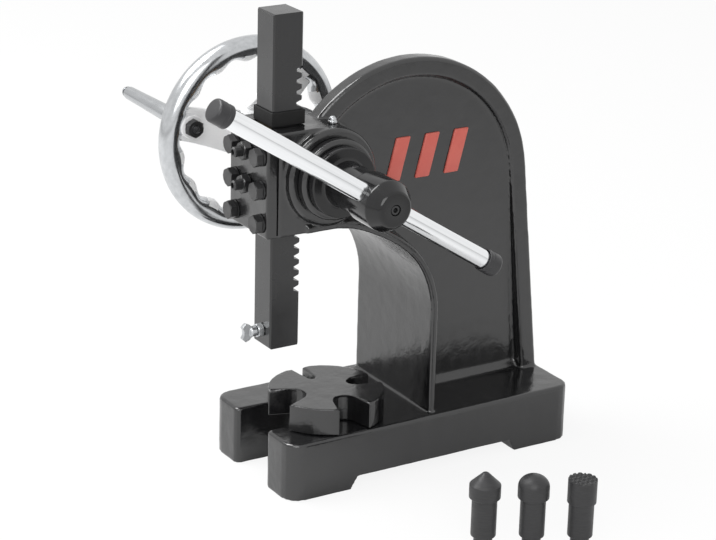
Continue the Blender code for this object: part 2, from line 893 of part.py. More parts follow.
def make_clamp_screw():
    """The thumb screw that grips a tip in the ram's foot."""
    nut_front = ram_front - seat_gap - clamp_nut_thickness
    neck_rear = nut_front - seat_gap
    neck_front = neck_rear - clamp_neck_length
    tip = ram_y - math.sqrt(tip_bore_radius ** 2 - clamp_screw_radius ** 2) - seat_gap
    r = clamp_screw_radius
    profile = [(neck_front, clamp_neck_radius * cup_neck_share),
               (neck_front + clamp_neck_length / 4, clamp_neck_radius), (neck_rear, clamp_neck_radius),
               (neck_rear, r), (tip - r / 4, r), (tip, r * screw_point_share)]
    screw = turned_object("tip_clamp_screw", profile, "Y", 0, clamp_z, screw_steps, "bright steel")
    half = clamp_wing_height / 2
    back = neck_front + clamp_neck_length / 2
    front = neck_front - clamp_wing_length
    bite = clamp_wing_height / 5
    lower = [(back, clamp_z - half / 3), (neck_front, clamp_z - half + bite / 2),
             (front + bite, clamp_z - half), (front, clamp_z - half + bite),
             (front + bite / 2, clamp_z - bite / 2)]
    outline = lower + [(y, 2 * clamp_z - z) for y, z in reversed(lower)]
    wing = prism_object("wing_form", outline, "X", -clamp_wing_thickness / 2, clamp_wing_thickness / 2)
    join(screw, wing)
    set_origin(screw, (0, nut_front, clamp_z))
    make_nut("clamp_lock_nut", clamp_nut_flats, clamp_nut_thickness, "Y", clamp_screw_radius + screw_hole_gap,
             "bright steel", (0, nut_front, clamp_z))


# Pinion shaft and bearings

def involute_point(base_radius, radius):
    """The angle that an involute has swept when it reaches a radius."""
    if radius <= base_radius:
        return 0.0
    roll = math.sqrt((radius / base_radius) ** 2 - 1)
    return roll - math.atan(roll)


def pinion_outline():
    """The pinion seen along X: involute flanks, one tooth pointing into the rack's gap."""
    base_radius = pitch_radius * math.cos(pressure_angle)
    outer = pitch_radius + tooth_module
    root = pitch_radius - rack_addendum - tooth_module / 4
    step = math.tau / pinion_tooth_count
    at_pitch = involute_point(base_radius, pitch_radius)
    half_tooth = step / 4 - tooth_backlash / (2 * pitch_radius)
    outline = []
    radii = [base_radius + (outer - base_radius) * i / flank_steps for i in range(flank_steps + 1)]
    radii = [root] + radii
    flank = [(radius, half_tooth + at_pitch - involute_point(base_radius, radius)) for radius in radii]
    for k in range(pinion_tooth_count):
        middle = math.pi - rack_phase / pitch_radius + step * k
        for radius, half in flank:
            outline.append((radius, middle - half))
        for radius, half in reversed(flank):
            outline.append((radius, middle + half))
    return [(pinion_y + r * math.cos(a), pinion_height + r * math.sin(a)) for r, a in outline]


def make_shaft():
    """The pinion, its journals, the spigot for the lever hub and the wheel's seat."""
    half = pinion_width / 2
    root = pitch_radius - rack_addendum - tooth_module / 4
    near = near_journal_radius - running_gap
    far = far_journal_radius - running_gap
    c = shaft_end_chamfer
    hub_stop = hub_start + hub_spigot_length
    seat_start = -wheel_hub_start
    thread_start = -wheel_hub_end + seat_gap
    thread_end = -(wheel_hub_end + 3 * seat_gap + wheel_washer_thickness + wheel_nut_thickness + wheel_thread_spare)
    profile = [
        (thread_end, wheel_thread_radius - c), (thread_end + c, wheel_thread_radius),
        (thread_start, wheel_thread_radius), (thread_start, wheel_seat_radius),
        (seat_start, wheel_seat_radius), (seat_start, far), (-half, far),
        (-half, root), (half, root), (half, near), (hub_start - seat_gap, near),
        (hub_start - seat_gap, hub_spigot_radius), (hub_stop - c, hub_spigot_radius),
        (hub_stop, hub_spigot_radius - c),
    ]
    shaft = turned_object("pinion_shaft", profile, "X", pinion_y, pinion_height, round_steps, "bright steel")
    teeth = prism_object("pinion_form", pinion_outline(), "X", -half + overrun / 4, half - overrun / 4)
    join(shaft, teeth)
    cut(shaft, make_key_slot(wheel_key_size + 2 * seat_gap, seat_gap), make_pin_hole())
    set_origin(shaft, (0, pinion_y, pinion_height))


def key_box(size, gap):
    """The key's low and high along each axis, grown by a gap."""
    middle = -(wheel_hub_start + wheel_hub_end) / 2
    half = wheel_key_length / 2 + gap
    low = pinion_height + wheel_seat_radius - wheel_key_size / 2 - gap
    return (middle - half, middle + half), (pinion_y - size / 2, pinion_y + size / 2), low


def make_key_slot(size, gap):
    x, y, low = key_box(size, gap)
    return box_object("shaft_key_cut", x, y, (low, pinion_height + wheel_seat_radius + overrun))


def make_key():
    x, y, low = key_box(wheel_key_size, 0)
    box_object("wheel_key", x, y, (low, low + wheel_key_size), "bright steel")


def pin_x():
    return hub_neck_start + hub_pin_setback


def make_pin_hole(name="shaft_pin_cut"):
    reach = hub_neck_radius + overrun
    radius = hub_pin_radius + seat_gap
    profile = [(pinion_height - reach, radius), (pinion_height + reach, radius)]
    return turned_object(name, profile, "Z", pin_x(), pinion_y, screw_steps)


def make_hub_pin():
    reach = hub_neck_radius * math.cos(math.asin(hub_pin_radius / hub_neck_radius))
    c = hub_pin_radius / 5
    profile = [(pinion_height - reach, hub_pin_radius - c), (pinion_height - reach + c, hub_pin_radius),
               (pinion_height + reach - c, hub_pin_radius), (pinion_height + reach, hub_pin_radius - c)]
    turned_object("hub_pin", profile, "Z", pin_x(), pinion_y, screw_steps, "bright steel")


def make_near_bush():
    inner = bore_radius(near_journal_radius, 0, round_steps)
    outer = chamber_radius - seat_gap
    end = boss_half_length - bearing_cap_spigot - seat_gap
    profile = [(chamber_half_width, inner), (chamber_half_width, outer), (end, outer), (end, inner)]
    turned_object("near_bush", profile, "X", pinion_y, pinion_height, round_steps, "bronze", closed=True)


def make_far_bush():
    inner = bore_radius(far_journal_radius, 0, round_steps)
    outer = far_bush_outer()
    flange = -boss_half_length - seat_gap
    end = flange - far_bush_flange_thickness
    start = -chamber_half_width
    profile = [(start, inner), (end, inner), (end, far_bush_flange_radius), (flange, far_bush_flange_radius),
               (flange, outer), (start, outer)]
    turned_object("far_bush", profile, "X", pinion_y, pinion_height, round_steps, "bronze", closed=True)


def make_bearing_cap():
    """The ring that closes the near bore, with a spigot that holds the bush in."""
    start = boss_half_length + seat_gap
    spigot = boss_half_length - bearing_cap_spigot
    inner = near_journal_radius + screw_hole_gap
    c = bearing_cap_edge
    profile = [(spigot, inner), (spigot, chamber_radius - seat_gap), (start, chamber_radius - seat_gap),
               (start, bearing_cap_radius), (cap_face - c, bearing_cap_radius), (cap_face, bearing_cap_radius - c),
               (cap_face, inner)]
    turned_object("bearing_cap", profile, "X", pinion_y, pinion_height, round_steps, "black paint", closed=True)


def make_oil_cup():
    r = oil_cup_radius
    low = head_top + seat_gap
    high = low + oil_cup_height
    bottom = head_top - oil_stem_depth
    profile = [(bottom, oil_stem_radius), (low, oil_stem_radius), (low, r), (low + oil_cup_height / 3, r),
               (low + oil_cup_height / 2, r * cup_neck_share),
               (high - r / 4, r * cup_neck_share), (high, r / 3), (high, 0)]
    turned_object("oil_cup", profile, "Z", oil_cup_reach, pinion_y + oil_cup_setback, screw_steps, "bright steel")


# Lever hub, bar and caps

def make_hub():
    """The lever hub: a collar against the bearing cap, a neck and a cross-bored head."""
    inner = hub_spigot_radius + seat_gap
    stop = hub_start + hub_spigot_length + seat_gap
    groove = hub_groove_depth
    nose = [(hub_end - hub_nose_length, hub_head_radius)]
    nose += [(hub_end - hub_nose_length * (1 - along), hub_head_radius - hub_nose_drop * drop)
             for along, drop in nose_shares]
    profile = [
        (stop, 0), (stop, inner), (hub_start, inner), (hub_start, hub_collar_radius - groove),
        (hub_start + groove, hub_collar_radius), (hub_neck_start - groove, hub_collar_radius),
        (hub_neck_start, hub_collar_radius - groove), (hub_neck_start, hub_neck_radius),
        (hub_head_start, hub_neck_radius), (hub_head_start, hub_head_radius - groove),
        (hub_head_start + groove, hub_head_radius), *nose, (hub_end, hub_head_radius - hub_nose_drop), (hub_end, 0),
    ]
    hub = turned_object("lever_hub", profile, "X", pinion_y, pinion_height, round_steps, "black paint")
    cross = bmesh.new()
    reach = hub_head_radius + overrun
    turned(cross, [(-reach, bore_radius(bar_radius, sliding_gap, small_round_steps)),
                   (reach, bore_radius(bar_radius, sliding_gap, small_round_steps))], "Y", 0, 0, small_round_steps)
    bmesh.ops.rotate(cross, verts=cross.verts, cent=(0, 0, 0), matrix=Matrix.Rotation(-bar_slope, 3, "X"))
    bmesh.ops.translate(cross, verts=cross.verts, vec=(bar_x, pinion_y, pinion_height))
    screw_hole = turned_object(
        "bar_screw_cut",
        [(bar_x, bar_screw_radius + screw_hole_gap), (hub_end + overrun, bar_screw_radius + screw_hole_gap)],
        "X", pinion_y, pinion_height, screw_steps)
    cut(hub, object_from("cross_bore_cut", cross), screw_hole, make_pin_hole("hub_pin_cut"))
    set_origin(hub, (bar_x, pinion_y, pinion_height))


def make_bar_screw():
    """The grub screw in the hub's nose that bears on the bar."""
    r = bar_screw_radius
    start = bar_x + bar_radius + seat_gap
    end = start + bar_screw_length
    socket = r / 2
    profile = [(start, 0), (start, r * screw_point_share), (start + r / 4, r), (end - r / 5, r),
               (end, r * socket_edge_share),
               (end, socket), (end - bar_screw_socket_depth, socket), (end - bar_screw_socket_depth, 0)]
    turned_object("bar_grub_screw", profile, "X", pinion_y, pinion_height, screw_steps, "black oxide")


def along_bar(target):
    """Turn a form made along Y at the origin into the lever's line through the hub."""
    turn = Matrix.Rotation(-bar_slope, 4, "X")
    target.data.transform(turn)
    target.location = (bar_x, pinion_y, pinion_height)


def make_lever():
    r = bar_radius
    front = cap_end_wall + seat_gap - bar_front_reach
    rear = bar_rear_reach - cap_end_wall - seat_gap
    c = r / 8
    profile = [(front, r - c), (front + c, r), (rear - c, r), (rear, r - c)]
    along_bar(turned_object("lever_bar", profile, "Y", 0, 0, small_round_steps, "chrome"))
    for name, end, way in (("front_end_cap", -bar_front_reach, 1), ("rear_end_cap", bar_rear_reach, -1)):
        lip = cap_lip
        inner = r + seat_gap
        profile = [(end, 0), (end, cap_radius - 2 * lip), (end + way * lip, cap_radius - lip / 2),
                   (end + way * 2 * lip, cap_radius), (end + way * (cap_length - lip), cap_radius),
                   (end + way * cap_length, cap_radius - lip), (end + way * cap_length, inner),
                   (end + way * cap_end_wall, inner), (end + way * cap_end_wall, 0)]
        along_bar(turned_object(name, profile, "Y", 0, 0, small_round_steps, "black plastic"))


# Handwheel and crank

def make_wheel():
    """The wheel: a rim with finger waves on its inner side, three webs and a hub."""
    shape = bmesh.new()
    tube_centre = wheel_radius - wheel_rim_radius
    sections = []
    for i in range(wheel_stations):
        turn = math.tau * i / wheel_stations
        wave = wheel_rim_wave * math.cos(wheel_wave_count * (turn - crank_angle))
        loop = []
        for a, b in ring_points(wheel_rim_radius, rim_sides, math.pi / rim_sides):
            inner_share = max(0.0, -a / wheel_rim_radius)
            radius = tube_centre + a - wave * inner_share
            loop.append(shape.verts.new((-wheel_plane + b, pinion_y + radius * math.cos(turn),
                                         pinion_height + radius * math.sin(turn))))
        sections.append(loop)
    for first, second in zip(sections, sections[1:] + sections[:1]):
        for i in range(rim_sides):
            j = (i + 1) % rim_sides
            shape.faces.new((first[i], first[j], second[j], second[i]))
    wheel = object_from("handwheel", shape, "chrome")
    hub_profile = [(-wheel_hub_end, wheel_hub_radius - rim_edge_chamfer),
                   (-wheel_hub_end + rim_edge_chamfer, wheel_hub_radius),
                   (-wheel_hub_start - rim_edge_chamfer, wheel_hub_radius),
                   (-wheel_hub_start, wheel_hub_radius - rim_edge_chamfer)]
    join(wheel, turned_object("wheel_hub_form", hub_profile, "X", pinion_y, pinion_height))
    for k in range(wheel_spoke_count):
        join(wheel, make_spoke("spoke_form_%d" % k, crank_angle + math.tau * k / wheel_spoke_count))
    boss = turned_object("crank_boss_form",
                         [(-crank_far_face, crank_boss_radius), (-crank_near_face, crank_boss_radius)],
                         "X", crank_y, crank_z, small_round_steps)
    join(wheel, boss)
    bore = turned_object("wheel_bore_cut",
                         [(-wheel_hub_end - overrun, wheel_seat_radius + seat_gap),
                          (-wheel_hub_start + overrun, wheel_seat_radius + seat_gap)],
                         "X", pinion_y, pinion_height)
    x, y, low = key_box(wheel_key_size + 2 * seat_gap, seat_gap)
    key_way = box_object("wheel_key_cut", (-wheel_hub_end - overrun, x[1]), y,
                         (pinion_height, low + wheel_key_size + 2 * seat_gap))
    spindle = turned_object("crank_bore_cut",
                            [(-crank_far_face - overrun, crank_spindle_radius + screw_hole_gap),
                             (-crank_near_face + overrun, crank_spindle_radius + screw_hole_gap)],
                            "X", crank_y, crank_z, screw_steps)
    cut(wheel, bore, key_way, spindle)
    set_origin(wheel, (-wheel_plane, pinion_y, pinion_height))


def make_spoke(name, turn):
    """A flat web that narrows from the hub to the rim, with curved sides."""
    shape = bmesh.new()
    inner = wheel_seat_radius + wheel_key_size
    outer = wheel_radius - spoke_reach_share * wheel_rim_radius
    steps = arc_steps // 2
    edge = []
    for i in range(steps + 1):
        share = i / steps
        half = (spoke_hub_width + (spoke_rim_width - spoke_hub_width) * math.sin(share * math.pi / 2)) / 2
        edge.append((inner + (outer - inner) * share, half))
    outline = edge + [(u, -v) for u, v in reversed(edge)]
    outline = [(pinion_y + u * math.cos(turn) - v * math.sin(turn),
                pinion_height + u * math.sin(turn) + v * math.cos(turn)) for u, v in outline]
    half = spoke_thickness / 2
    prism(shape, outline, "X", -wheel_plane - half, -wheel_plane + half)
    return object_from(name, shape)


def make_wheel_fixings():
    inner = far_journal_radius + seat_gap
    spacer_end = spacer_start + spacer_length
    profile = [(-spacer_start, inner), (-spacer_start, spacer_radius), (-spacer_end, spacer_radius),
               (-spacer_end, inner)]
    turned_object("wheel_spacer", profile, "X", pinion_y, pinion_height, round_steps, "bright steel", closed=True)
    face = wheel_hub_end + seat_gap
    hole = wheel_thread_radius + seat_gap
    profile = [(-face, hole), (-face, wheel_washer_radius), (-face - wheel_washer_thickness, wheel_washer_radius),
               (-face - wheel_washer_thickness, hole)]
    turned_object("wheel_washer", profile, "X", pinion_y, pinion_height, small_round_steps, "bright steel",
                  closed=True)
    nut_start = -(face + wheel_washer_thickness + seat_gap + wheel_nut_thickness)
    make_nut("wheel_nut", wheel_nut_flats, wheel_nut_thickness, "X", hole, "bright steel",
             (nut_start, pinion_y, pinion_height))


def make_crank():
    """The spindle through the wheel, the tapered grip that turns on it and the nut."""
    r = crank_spindle_radius
    grip_start = crank_far_face + seat_gap
    grip_end = grip_start + crank_handle_length
    head = grip_end + seat_gap
    tip = head + crank_spindle_head_length
    nut_end = -(crank_near_face - seat_gap - crank_nut_thickness)
    profile = [
        (-tip, 0), (-tip, crank_spindle_head_radius * spindle_crown_share),
        (-tip + crank_spindle_head_length * spindle_crown_length_share,
         crank_spindle_head_radius * spindle_edge_share),
        (-head, crank_spindle_head_radius), (-head, r - running_gap), (nut_end + crank_nut_spare, r - running_gap),
    ]
    spindle = turned_object("crank_spindle", profile, "X", crank_y, crank_z, small_round_steps, "bright steel")
    set_origin(spindle, (-crank_far_face, crank_y, crank_z))
    hole = bore_radius(r, running_gap, small_round_steps)
    lip = crank_handle_end_radius / 5
    profile = [(-grip_start, hole), (-grip_start, crank_handle_root_radius - lip),
               (-grip_start - lip, crank_handle_root_radius), (-grip_end + lip, crank_handle_end_radius),
               (-grip_end, crank_handle_end_radius - lip), (-grip_end, hole)]
    grip = turned_object("crank_handle", profile, "X", crank_y, crank_z, small_round_steps, "bright steel",
                         closed=True)
    set_origin(grip, (-grip_start, crank_y, crank_z))
    make_nut("crank_nut", crank_nut_flats, crank_nut_thickness, "X", r + screw_hole_gap, "black oxide",
             (nut_end - crank_nut_thickness, crank_y, crank_z))


# Anvil plate

def anvil_outline():
    """The plate from above: a disc with four notches that widen towards the rim."""
    notches = [
        (0.0, near_notch_inner, near_notch_mouth), (math.pi / 2, rear_notch_inner, rear_notch_mouth),
        (math.pi, far_notch_inner, far_notch_mouth), (3 * math.pi / 2, front_notch_inner, front_notch_mouth),
    ]
    outline = []
    for k, (turn, inner, mouth) in enumerate(notches):
        depth = math.sqrt(anvil_radius ** 2 - mouth ** 2)
        root = anvil_core_radius + inner
        local = [(depth, -mouth)]
        local += [(root - inner * math.sin(math.pi * i / arc_steps), -inner * math.cos(math.pi * i / arc_steps))
                  for i in range(arc_steps + 1)]
        local.append((depth, mouth))
        outline += [(u * math.cos(turn) - v * math.sin(turn), u * math.sin(turn) + v * math.cos(turn))
                    for u, v in local]
        next_mouth = notches[(k + 1) % 4][2]
        start = turn + math.asin(mouth / anvil_radius)
        end = turn + math.pi / 2 - math.asin(next_mouth / anvil_radius)
        outline += arc(0, 0, anvil_radius, start, end, arc_steps)[1:-1]
    return outline


def make_anvil():
    shape = bmesh.new()
    lower, upper = prism(shape, anvil_outline(), "Z", anvil_bottom, anvil_top)
    edges = [e for e in shape.edges if e.verts[0] in upper and e.verts[1] in upper]
    bmesh.ops.bevel(shape, geom=edges, offset=anvil_edge_radius, segments=1, affect="EDGES", profile=0.5)
    plate = object_from("anvil_plate", shape, "black paint")
    plate.location = (anvil_offset, base_front + anvil_setback, 0)


# Loose tips

def tip_place(k):
    step = k * tip_row_pitch
    return (tip_row_start + step * math.cos(tip_row_angle),
            base_front + tip_row_setback + step * math.sin(tip_row_angle))


def tip_stem(body_length, head_radius):
    """The profile that all tips share, from the shank's foot to the head's foot."""
    c = tip_edge_chamfer
    body = tip_shank_length
    head = body + body_length
    return [(0, tip_shank_radius - c), (c, tip_shank_radius), (body, tip_shank_radius),
            (body, tip_body_radius - c / 2), (body + c / 2, tip_body_radius), (head, tip_body_radius),
            (head, head_radius - c), (head + c, head_radius)]


def make_tips():
    stem = tip_stem(tip_body_length, tip_head_radius)
    top = tip_shank_length + tip_body_length + tip_head_length
    shoulder = top - tip_cone_length
    c = tip_edge_chamfer
    x, y = tip_place(0)
    profile = stem + [(shoulder, tip_head_radius), (top - c / 2, c), (top, 0)]
    turned_object("pointed_tip", profile, "Z", x, y, small_round_steps, "black oxide")
    x, y = tip_place(1)
    top = tip_shank_length + tip_body_length + domed_head_length
    dome = [(top - tip_cone_length * (1 - math.sin(math.pi / 2 * i / arc_steps)),
             tip_head_radius * math.cos(math.pi / 2 * i / arc_steps)) for i in range(0, arc_steps, 2)]
    turned_object("domed_tip", stem + dome + [(top, 0)], "Z", x, y, small_round_steps, "black oxide")
    x, y = tip_place(2)
    radius = serrated_head_radius
    top = tip_shank_length + serrated_body_length + serrated_head_length
    profile = tip_stem(serrated_body_length, radius) + [(top - c, radius), (top, radius - c)]
    flat = turned_object("serrated_tip", profile, "Z", x, y, small_round_steps, "black oxide")
    grooves = bmesh.new()
    pitch = 2 * radius / (serration_count + 1)
    reach = radius + overrun
    width = serration_depth
    across = bmesh.new()
    section = [(-width, top + overrun), (width, top + overrun), (width, top), (0, top - serration_depth),
               (-width, top)]
    for k in range(serration_count):
        at = (k + 1) * pitch - radius
        prism(grooves, [(x + at + u, v) for u, v in section], "Y", y - reach, y + reach)
        prism(across, [(y + at + u, v) for u, v in section], "X", x - reach, x + reach)
    cut(flat, object_from("groove_cut", grooves), object_from("cross_groove_cut", across))


clear_scene()
make_frame()
make_cover()
make_gib()
make_cover_bolts()
make_adjusting_screws()
make_wiper()
make_ram()
make_clamp_screw()
make_shaft()
make_near_bush()
make_far_bush()
make_bearing_cap()
make_oil_cup()
make_hub()
make_hub_pin()
make_bar_screw()
make_lever()
make_wheel()
make_key()
make_wheel_fixings()
make_crank()
make_anvil()
make_tips()
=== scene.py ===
import json
import math
import bmesh
import bpy
from mathutils import Matrix, Vector


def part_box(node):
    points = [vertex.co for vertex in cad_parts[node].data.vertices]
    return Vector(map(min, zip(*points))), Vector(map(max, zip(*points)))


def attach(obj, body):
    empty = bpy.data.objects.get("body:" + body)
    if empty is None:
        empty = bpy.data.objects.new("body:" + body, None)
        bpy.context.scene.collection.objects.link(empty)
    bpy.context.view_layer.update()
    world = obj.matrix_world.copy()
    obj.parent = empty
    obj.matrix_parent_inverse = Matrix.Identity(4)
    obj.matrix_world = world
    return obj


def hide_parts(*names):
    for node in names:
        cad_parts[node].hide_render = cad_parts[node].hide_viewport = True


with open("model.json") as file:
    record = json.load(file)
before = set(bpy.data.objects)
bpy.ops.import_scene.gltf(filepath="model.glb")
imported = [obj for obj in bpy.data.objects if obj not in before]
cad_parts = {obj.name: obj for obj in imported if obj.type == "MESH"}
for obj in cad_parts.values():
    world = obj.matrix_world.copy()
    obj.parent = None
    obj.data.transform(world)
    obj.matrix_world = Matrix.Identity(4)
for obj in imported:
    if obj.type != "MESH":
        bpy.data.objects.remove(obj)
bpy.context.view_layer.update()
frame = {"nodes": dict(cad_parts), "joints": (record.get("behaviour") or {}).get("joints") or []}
print("frame loaded")


# Small helpers

mmPerMetre = 1000


def mm(value):
    return value / mmPerMetre


def inMm(points):
    return [tuple(mm(value) for value in point) for point in points]


def perMm(size):
    return mmPerMetre / size  # texture scale that gives one feature every so many millimetres


def linear(hexColour):
    parts = [int(hexColour[i:i + 2], 16) / 255 for i in (1, 3, 5)]  # sRGB hex to linear
    return tuple(p / 12.92 if p <= 0.04045 else ((p + 0.055) / 1.055) ** 2.4 for p in parts) + (1.0,)


def addNode(tree, kind, values=None, links=None, **settings):
    node = tree.nodes.new("ShaderNode" + kind)
    for name, value in settings.items():
        setattr(node, name, value)
    for socket, value in (values or {}).items():
        node.inputs[socket].default_value = value
    for socket, source in (links or {}).items():
        tree.links.new(source, node.inputs[socket])
    return node


def newMaterial(name, values):
    material = bpy.data.materials.new(name)
    material.use_nodes = True
    tree = material.node_tree
    tree.nodes.clear()
    shader = addNode(tree, "BsdfPrincipled", values)
    addNode(tree, "OutputMaterial", links={"Surface": shader.outputs[0]})
    place = addNode(tree, "TexCoord").outputs["Object"]  # metres on the piece itself
    return material, tree, shader, place


joints = {joint["name"]: joint for joint in frame["joints"]}
pinionAxis = Vector(joints["pinion_turn"]["pos_m"])
crankAxis = Vector(joints["crank_handle_spin"]["pos_m"])
leverWay = Vector(joints["lever_slide"]["axis"]).normalized()
leverSlope = math.atan2(leverWay.z, -leverWay.y)
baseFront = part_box("frame_casting")[0][1]


# Camera: the photograph's own view, from the lever side, a little above the head

camera = {
    "azimuth": 57.8461, "elevation": 20.0461, "roll": 1.502, "distance": mm(1981.8), "farthest": 20,
    "lens": 123.19, "filmWidth": 36, "aim": (mm(-56.5), baseFront + mm(130), mm(130)),
}


def makeCamera(look):
    azimuth, elevation, roll = (math.radians(look[key]) for key in ("azimuth", "elevation", "roll"))
    back = Vector((math.sin(azimuth) * math.cos(elevation), -math.cos(azimuth) * math.cos(elevation),
                   math.sin(elevation)))
    right = Vector((math.cos(azimuth), math.sin(azimuth), 0))
    up = back.cross(right)
    right, up = right * math.cos(roll) + up * math.sin(roll), up * math.cos(roll) - right * math.sin(roll)
    data = bpy.data.cameras.new("pressCamera")
    data.lens = look["lens"]
    data.sensor_width = look["filmWidth"]
    data.clip_end = look["farthest"]
    made = bpy.data.objects.new("pressCamera", data)
    place = Vector(look["aim"]) + back * look["distance"]
    made.matrix_world = Matrix.Translation(place) @ Matrix((right, up, back)).transposed().to_4x4()
    bpy.context.scene.collection.objects.link(made)
    bpy.context.scene.camera = made


makeCamera(camera)
print("camera placed")


# Studio: white floor and white surroundings, a softbox high at the front left and a fill lamp on
# the lever side. The floor lies a hair below the feet.

studio = {
    "floorSize": 8.0, "floorDrop": mm(0.2), "floor": "#f4f4f4",
    "seenWhite": 0.88, "mirroredWhite": 0.25, "room": 0.46,
    "softbox": {"power": 40.0, "size": 1.2, "place": (-0.75, -0.95, 1.85), "aim": (-0.35, -0.3, 0)},
    "fillLamp": {"power": 18.0, "size": 1.3, "place": (1.6, -1.2, 1.3), "aim": (0, 0, 0.15)},
}


def makeFloor(look):
    shape = bmesh.new()
    bmesh.ops.create_grid(shape, x_segments=1, y_segments=1, size=look["floorSize"] / 2)
    mesh = bpy.data.meshes.new("studioFloor")
    shape.to_mesh(mesh)
    shape.free()
    floor = bpy.data.objects.new("studioFloor", mesh)
    bpy.context.scene.collection.objects.link(floor)
    floor.location.z = -look["floorDrop"]
    material = bpy.data.materials.new("mattWhitePaper")
    material.use_nodes = True
    tree = material.node_tree
    tree.nodes.clear()
    rays = addNode(tree, "LightPath")
    mirrored = addNode(tree, "Math", links={0: rays.outputs["Is Glossy Ray"],
                                            1: rays.outputs["Is Transmission Ray"]}, operation="MAXIMUM")
    mirrored = addNode(tree, "Math", {1: look["mirroredWhite"]}, {0: mirrored.outputs[0]},
                       operation="MULTIPLY")
    share = addNode(tree, "Math", {1: look["seenWhite"]}, {0: rays.outputs["Is Camera Ray"],
                                                           2: mirrored.outputs[0]}, operation="MULTIPLY_ADD")
    paper = addNode(tree, "BsdfDiffuse", {"Color": linear(look["floor"])})
    glow = addNode(tree, "Emission", {"Color": linear("#ffffff"), "Strength": 1.0})
    mix = addNode(tree, "MixShader", links={0: share.outputs[0], 1: paper.outputs[0], 2: glow.outputs[0]})
    addNode(tree, "OutputMaterial", links={"Surface": mix.outputs[0]})
    mesh.materials.append(material)


def makeLamp(name, look):
    data = bpy.data.lights.new(name, "AREA")
    data.energy = look["power"]
    data.size = look["size"]
    lamp = bpy.data.objects.new(name, data)
    bpy.context.scene.collection.objects.link(lamp)
    lamp.location = look["place"]
    lamp.rotation_euler = (Vector(look["place"]) - Vector(look["aim"])).to_track_quat("Z", "Y").to_euler()


def makeWorld(look):
    world = bpy.data.worlds.new("whiteRoom")
    bpy.context.scene.world = world
    world.use_nodes = True
    tree = world.node_tree
    tree.nodes.clear()
    rays = addNode(tree, "LightPath")
    seen = addNode(tree, "Math", links={0: rays.outputs["Is Camera Ray"], 1: rays.outputs["Is Glossy Ray"]},
                   operation="MAXIMUM")
    seen = addNode(tree, "Math", links={0: seen.outputs[0], 1: rays.outputs["Is Transmission Ray"]},
                   operation="MAXIMUM")
    strength = addNode(tree, "Mix", {2: look["room"], 3: 1.0}, {0: seen.outputs[0]}, data_type="FLOAT")
    background = addNode(tree, "Background", {"Color": linear("#ffffff")}, {"Strength": strength.outputs[0]})
    addNode(tree, "OutputWorld", links={"Surface": background.outputs[0]})


makeFloor(studio)
makeWorld(studio)
for lampName in ("softbox", "fillLamp"):
    makeLamp(lampName, studio[lampName])
bpy.context.scene.view_settings.view_transform = "Standard"
print("studio lit")


# Materials

noiseReach = (0.3, 0.7)  # a noise texture's values seldom leave this range

# Grey cast iron, sand moulded, filled and sprayed with black alkyd enamel: a wet black gloss
# whose reflections wobble over the sand grain, in long faint runs down the faces, with the
# iron's edges a shade lighter.
enamel = {
    "deep": "#0d0d0e", "dusty": "#1e1e1f", "edge": "#3c3c3d", "roughness": (0.1, 0.26), "ior": 1.7,
    "sandMm": 3.4, "sandDepth": 0.24, "peelMm": 1.0, "peelDepth": 0.04, "cloudMm": (11, 11, 46),
    "ridge": (0.53, 0.62), "ridgeShare": 0.6,
}


def sprayedIron(name, look):
    material, tree, shader, place = newMaterial(name, {"IOR": look["ior"], "Metallic": 0})
    run = addNode(tree, "Mapping", {"Scale": [perMm(size) for size in look["cloudMm"]]}, {"Vector": place})
    cloud = addNode(tree, "TexNoise", {"Scale": 1, "Detail": 4}, {"Vector": run.outputs[0]})
    sand = addNode(tree, "TexNoise", {"Scale": perMm(look["sandMm"]), "Detail": 4, "Roughness": 0.55},
                   {"Vector": place})
    peel = addNode(tree, "TexNoise", {"Scale": perMm(look["peelMm"]), "Detail": 1}, {"Vector": place})
    tint = addNode(tree, "Mix", {6: linear(look["deep"]), 7: linear(look["dusty"])}, {0: cloud.outputs[0]},
                   data_type="RGBA")
    ridge = addNode(tree, "NewGeometry").outputs["Pointiness"]
    onEdge = addNode(tree, "MapRange", {"From Min": look["ridge"][0], "From Max": look["ridge"][1],
                                        "To Max": look["ridgeShare"]}, {"Value": ridge})
    colour = addNode(tree, "Mix", {7: linear(look["edge"])}, {0: onEdge.outputs[0], 6: tint.outputs[2]},
                     data_type="RGBA")
    gloss = addNode(tree, "MapRange", {"From Min": noiseReach[0], "From Max": noiseReach[1],
                                       "To Min": look["roughness"][0], "To Max": look["roughness"][1]},
                    {"Value": cloud.outputs[0]})
    lumps = addNode(tree, "Bump", {"Distance": mm(look["sandDepth"]), "Strength": 0.6},
                    {"Height": sand.outputs[0]})
    skin = addNode(tree, "Bump", {"Distance": mm(look["peelDepth"]), "Strength": 0.5},
                   {"Height": peel.outputs[0], "Normal": lumps.outputs[0]})
    tree.links.new(colour.outputs[2], shader.inputs["Base Color"])
    tree.links.new(gloss.outputs[0], shader.inputs["Roughness"])
    tree.links.new(skin.outputs[0], shader.inputs["Normal"])
    return material


sprayedCastIron = sprayedIron("sprayedBlackCastIron", enamel)

# The hub was turned before it was sprayed: the same enamel without the sand grain under it, so
# its reflections are calm.
turnedEnamel = dict(enamel, ior=1.46, roughness=(0.08, 0.22), sandDepth=0.04, peelDepth=0.02)
sprayedTurnedIron = sprayedIron("sprayedBlackTurnedIron", turnedEnamel)

# The same iron where the raised bars were brushed with red enamel by hand: a thicker, duller
# coat with soft edges, paler where the brush ran dry.
redEnamel = dict(enamel, deep="#c4483f", dusty="#d06a5c", edge="#dc8d80", roughness=(0.3, 0.45), ior=1.5,
                 sandMm=2.2, sandDepth=0.12, cloudMm=(14, 14, 14))
brushedRedEnamel = sprayedIron("brushedRedEnamel", redEnamel)


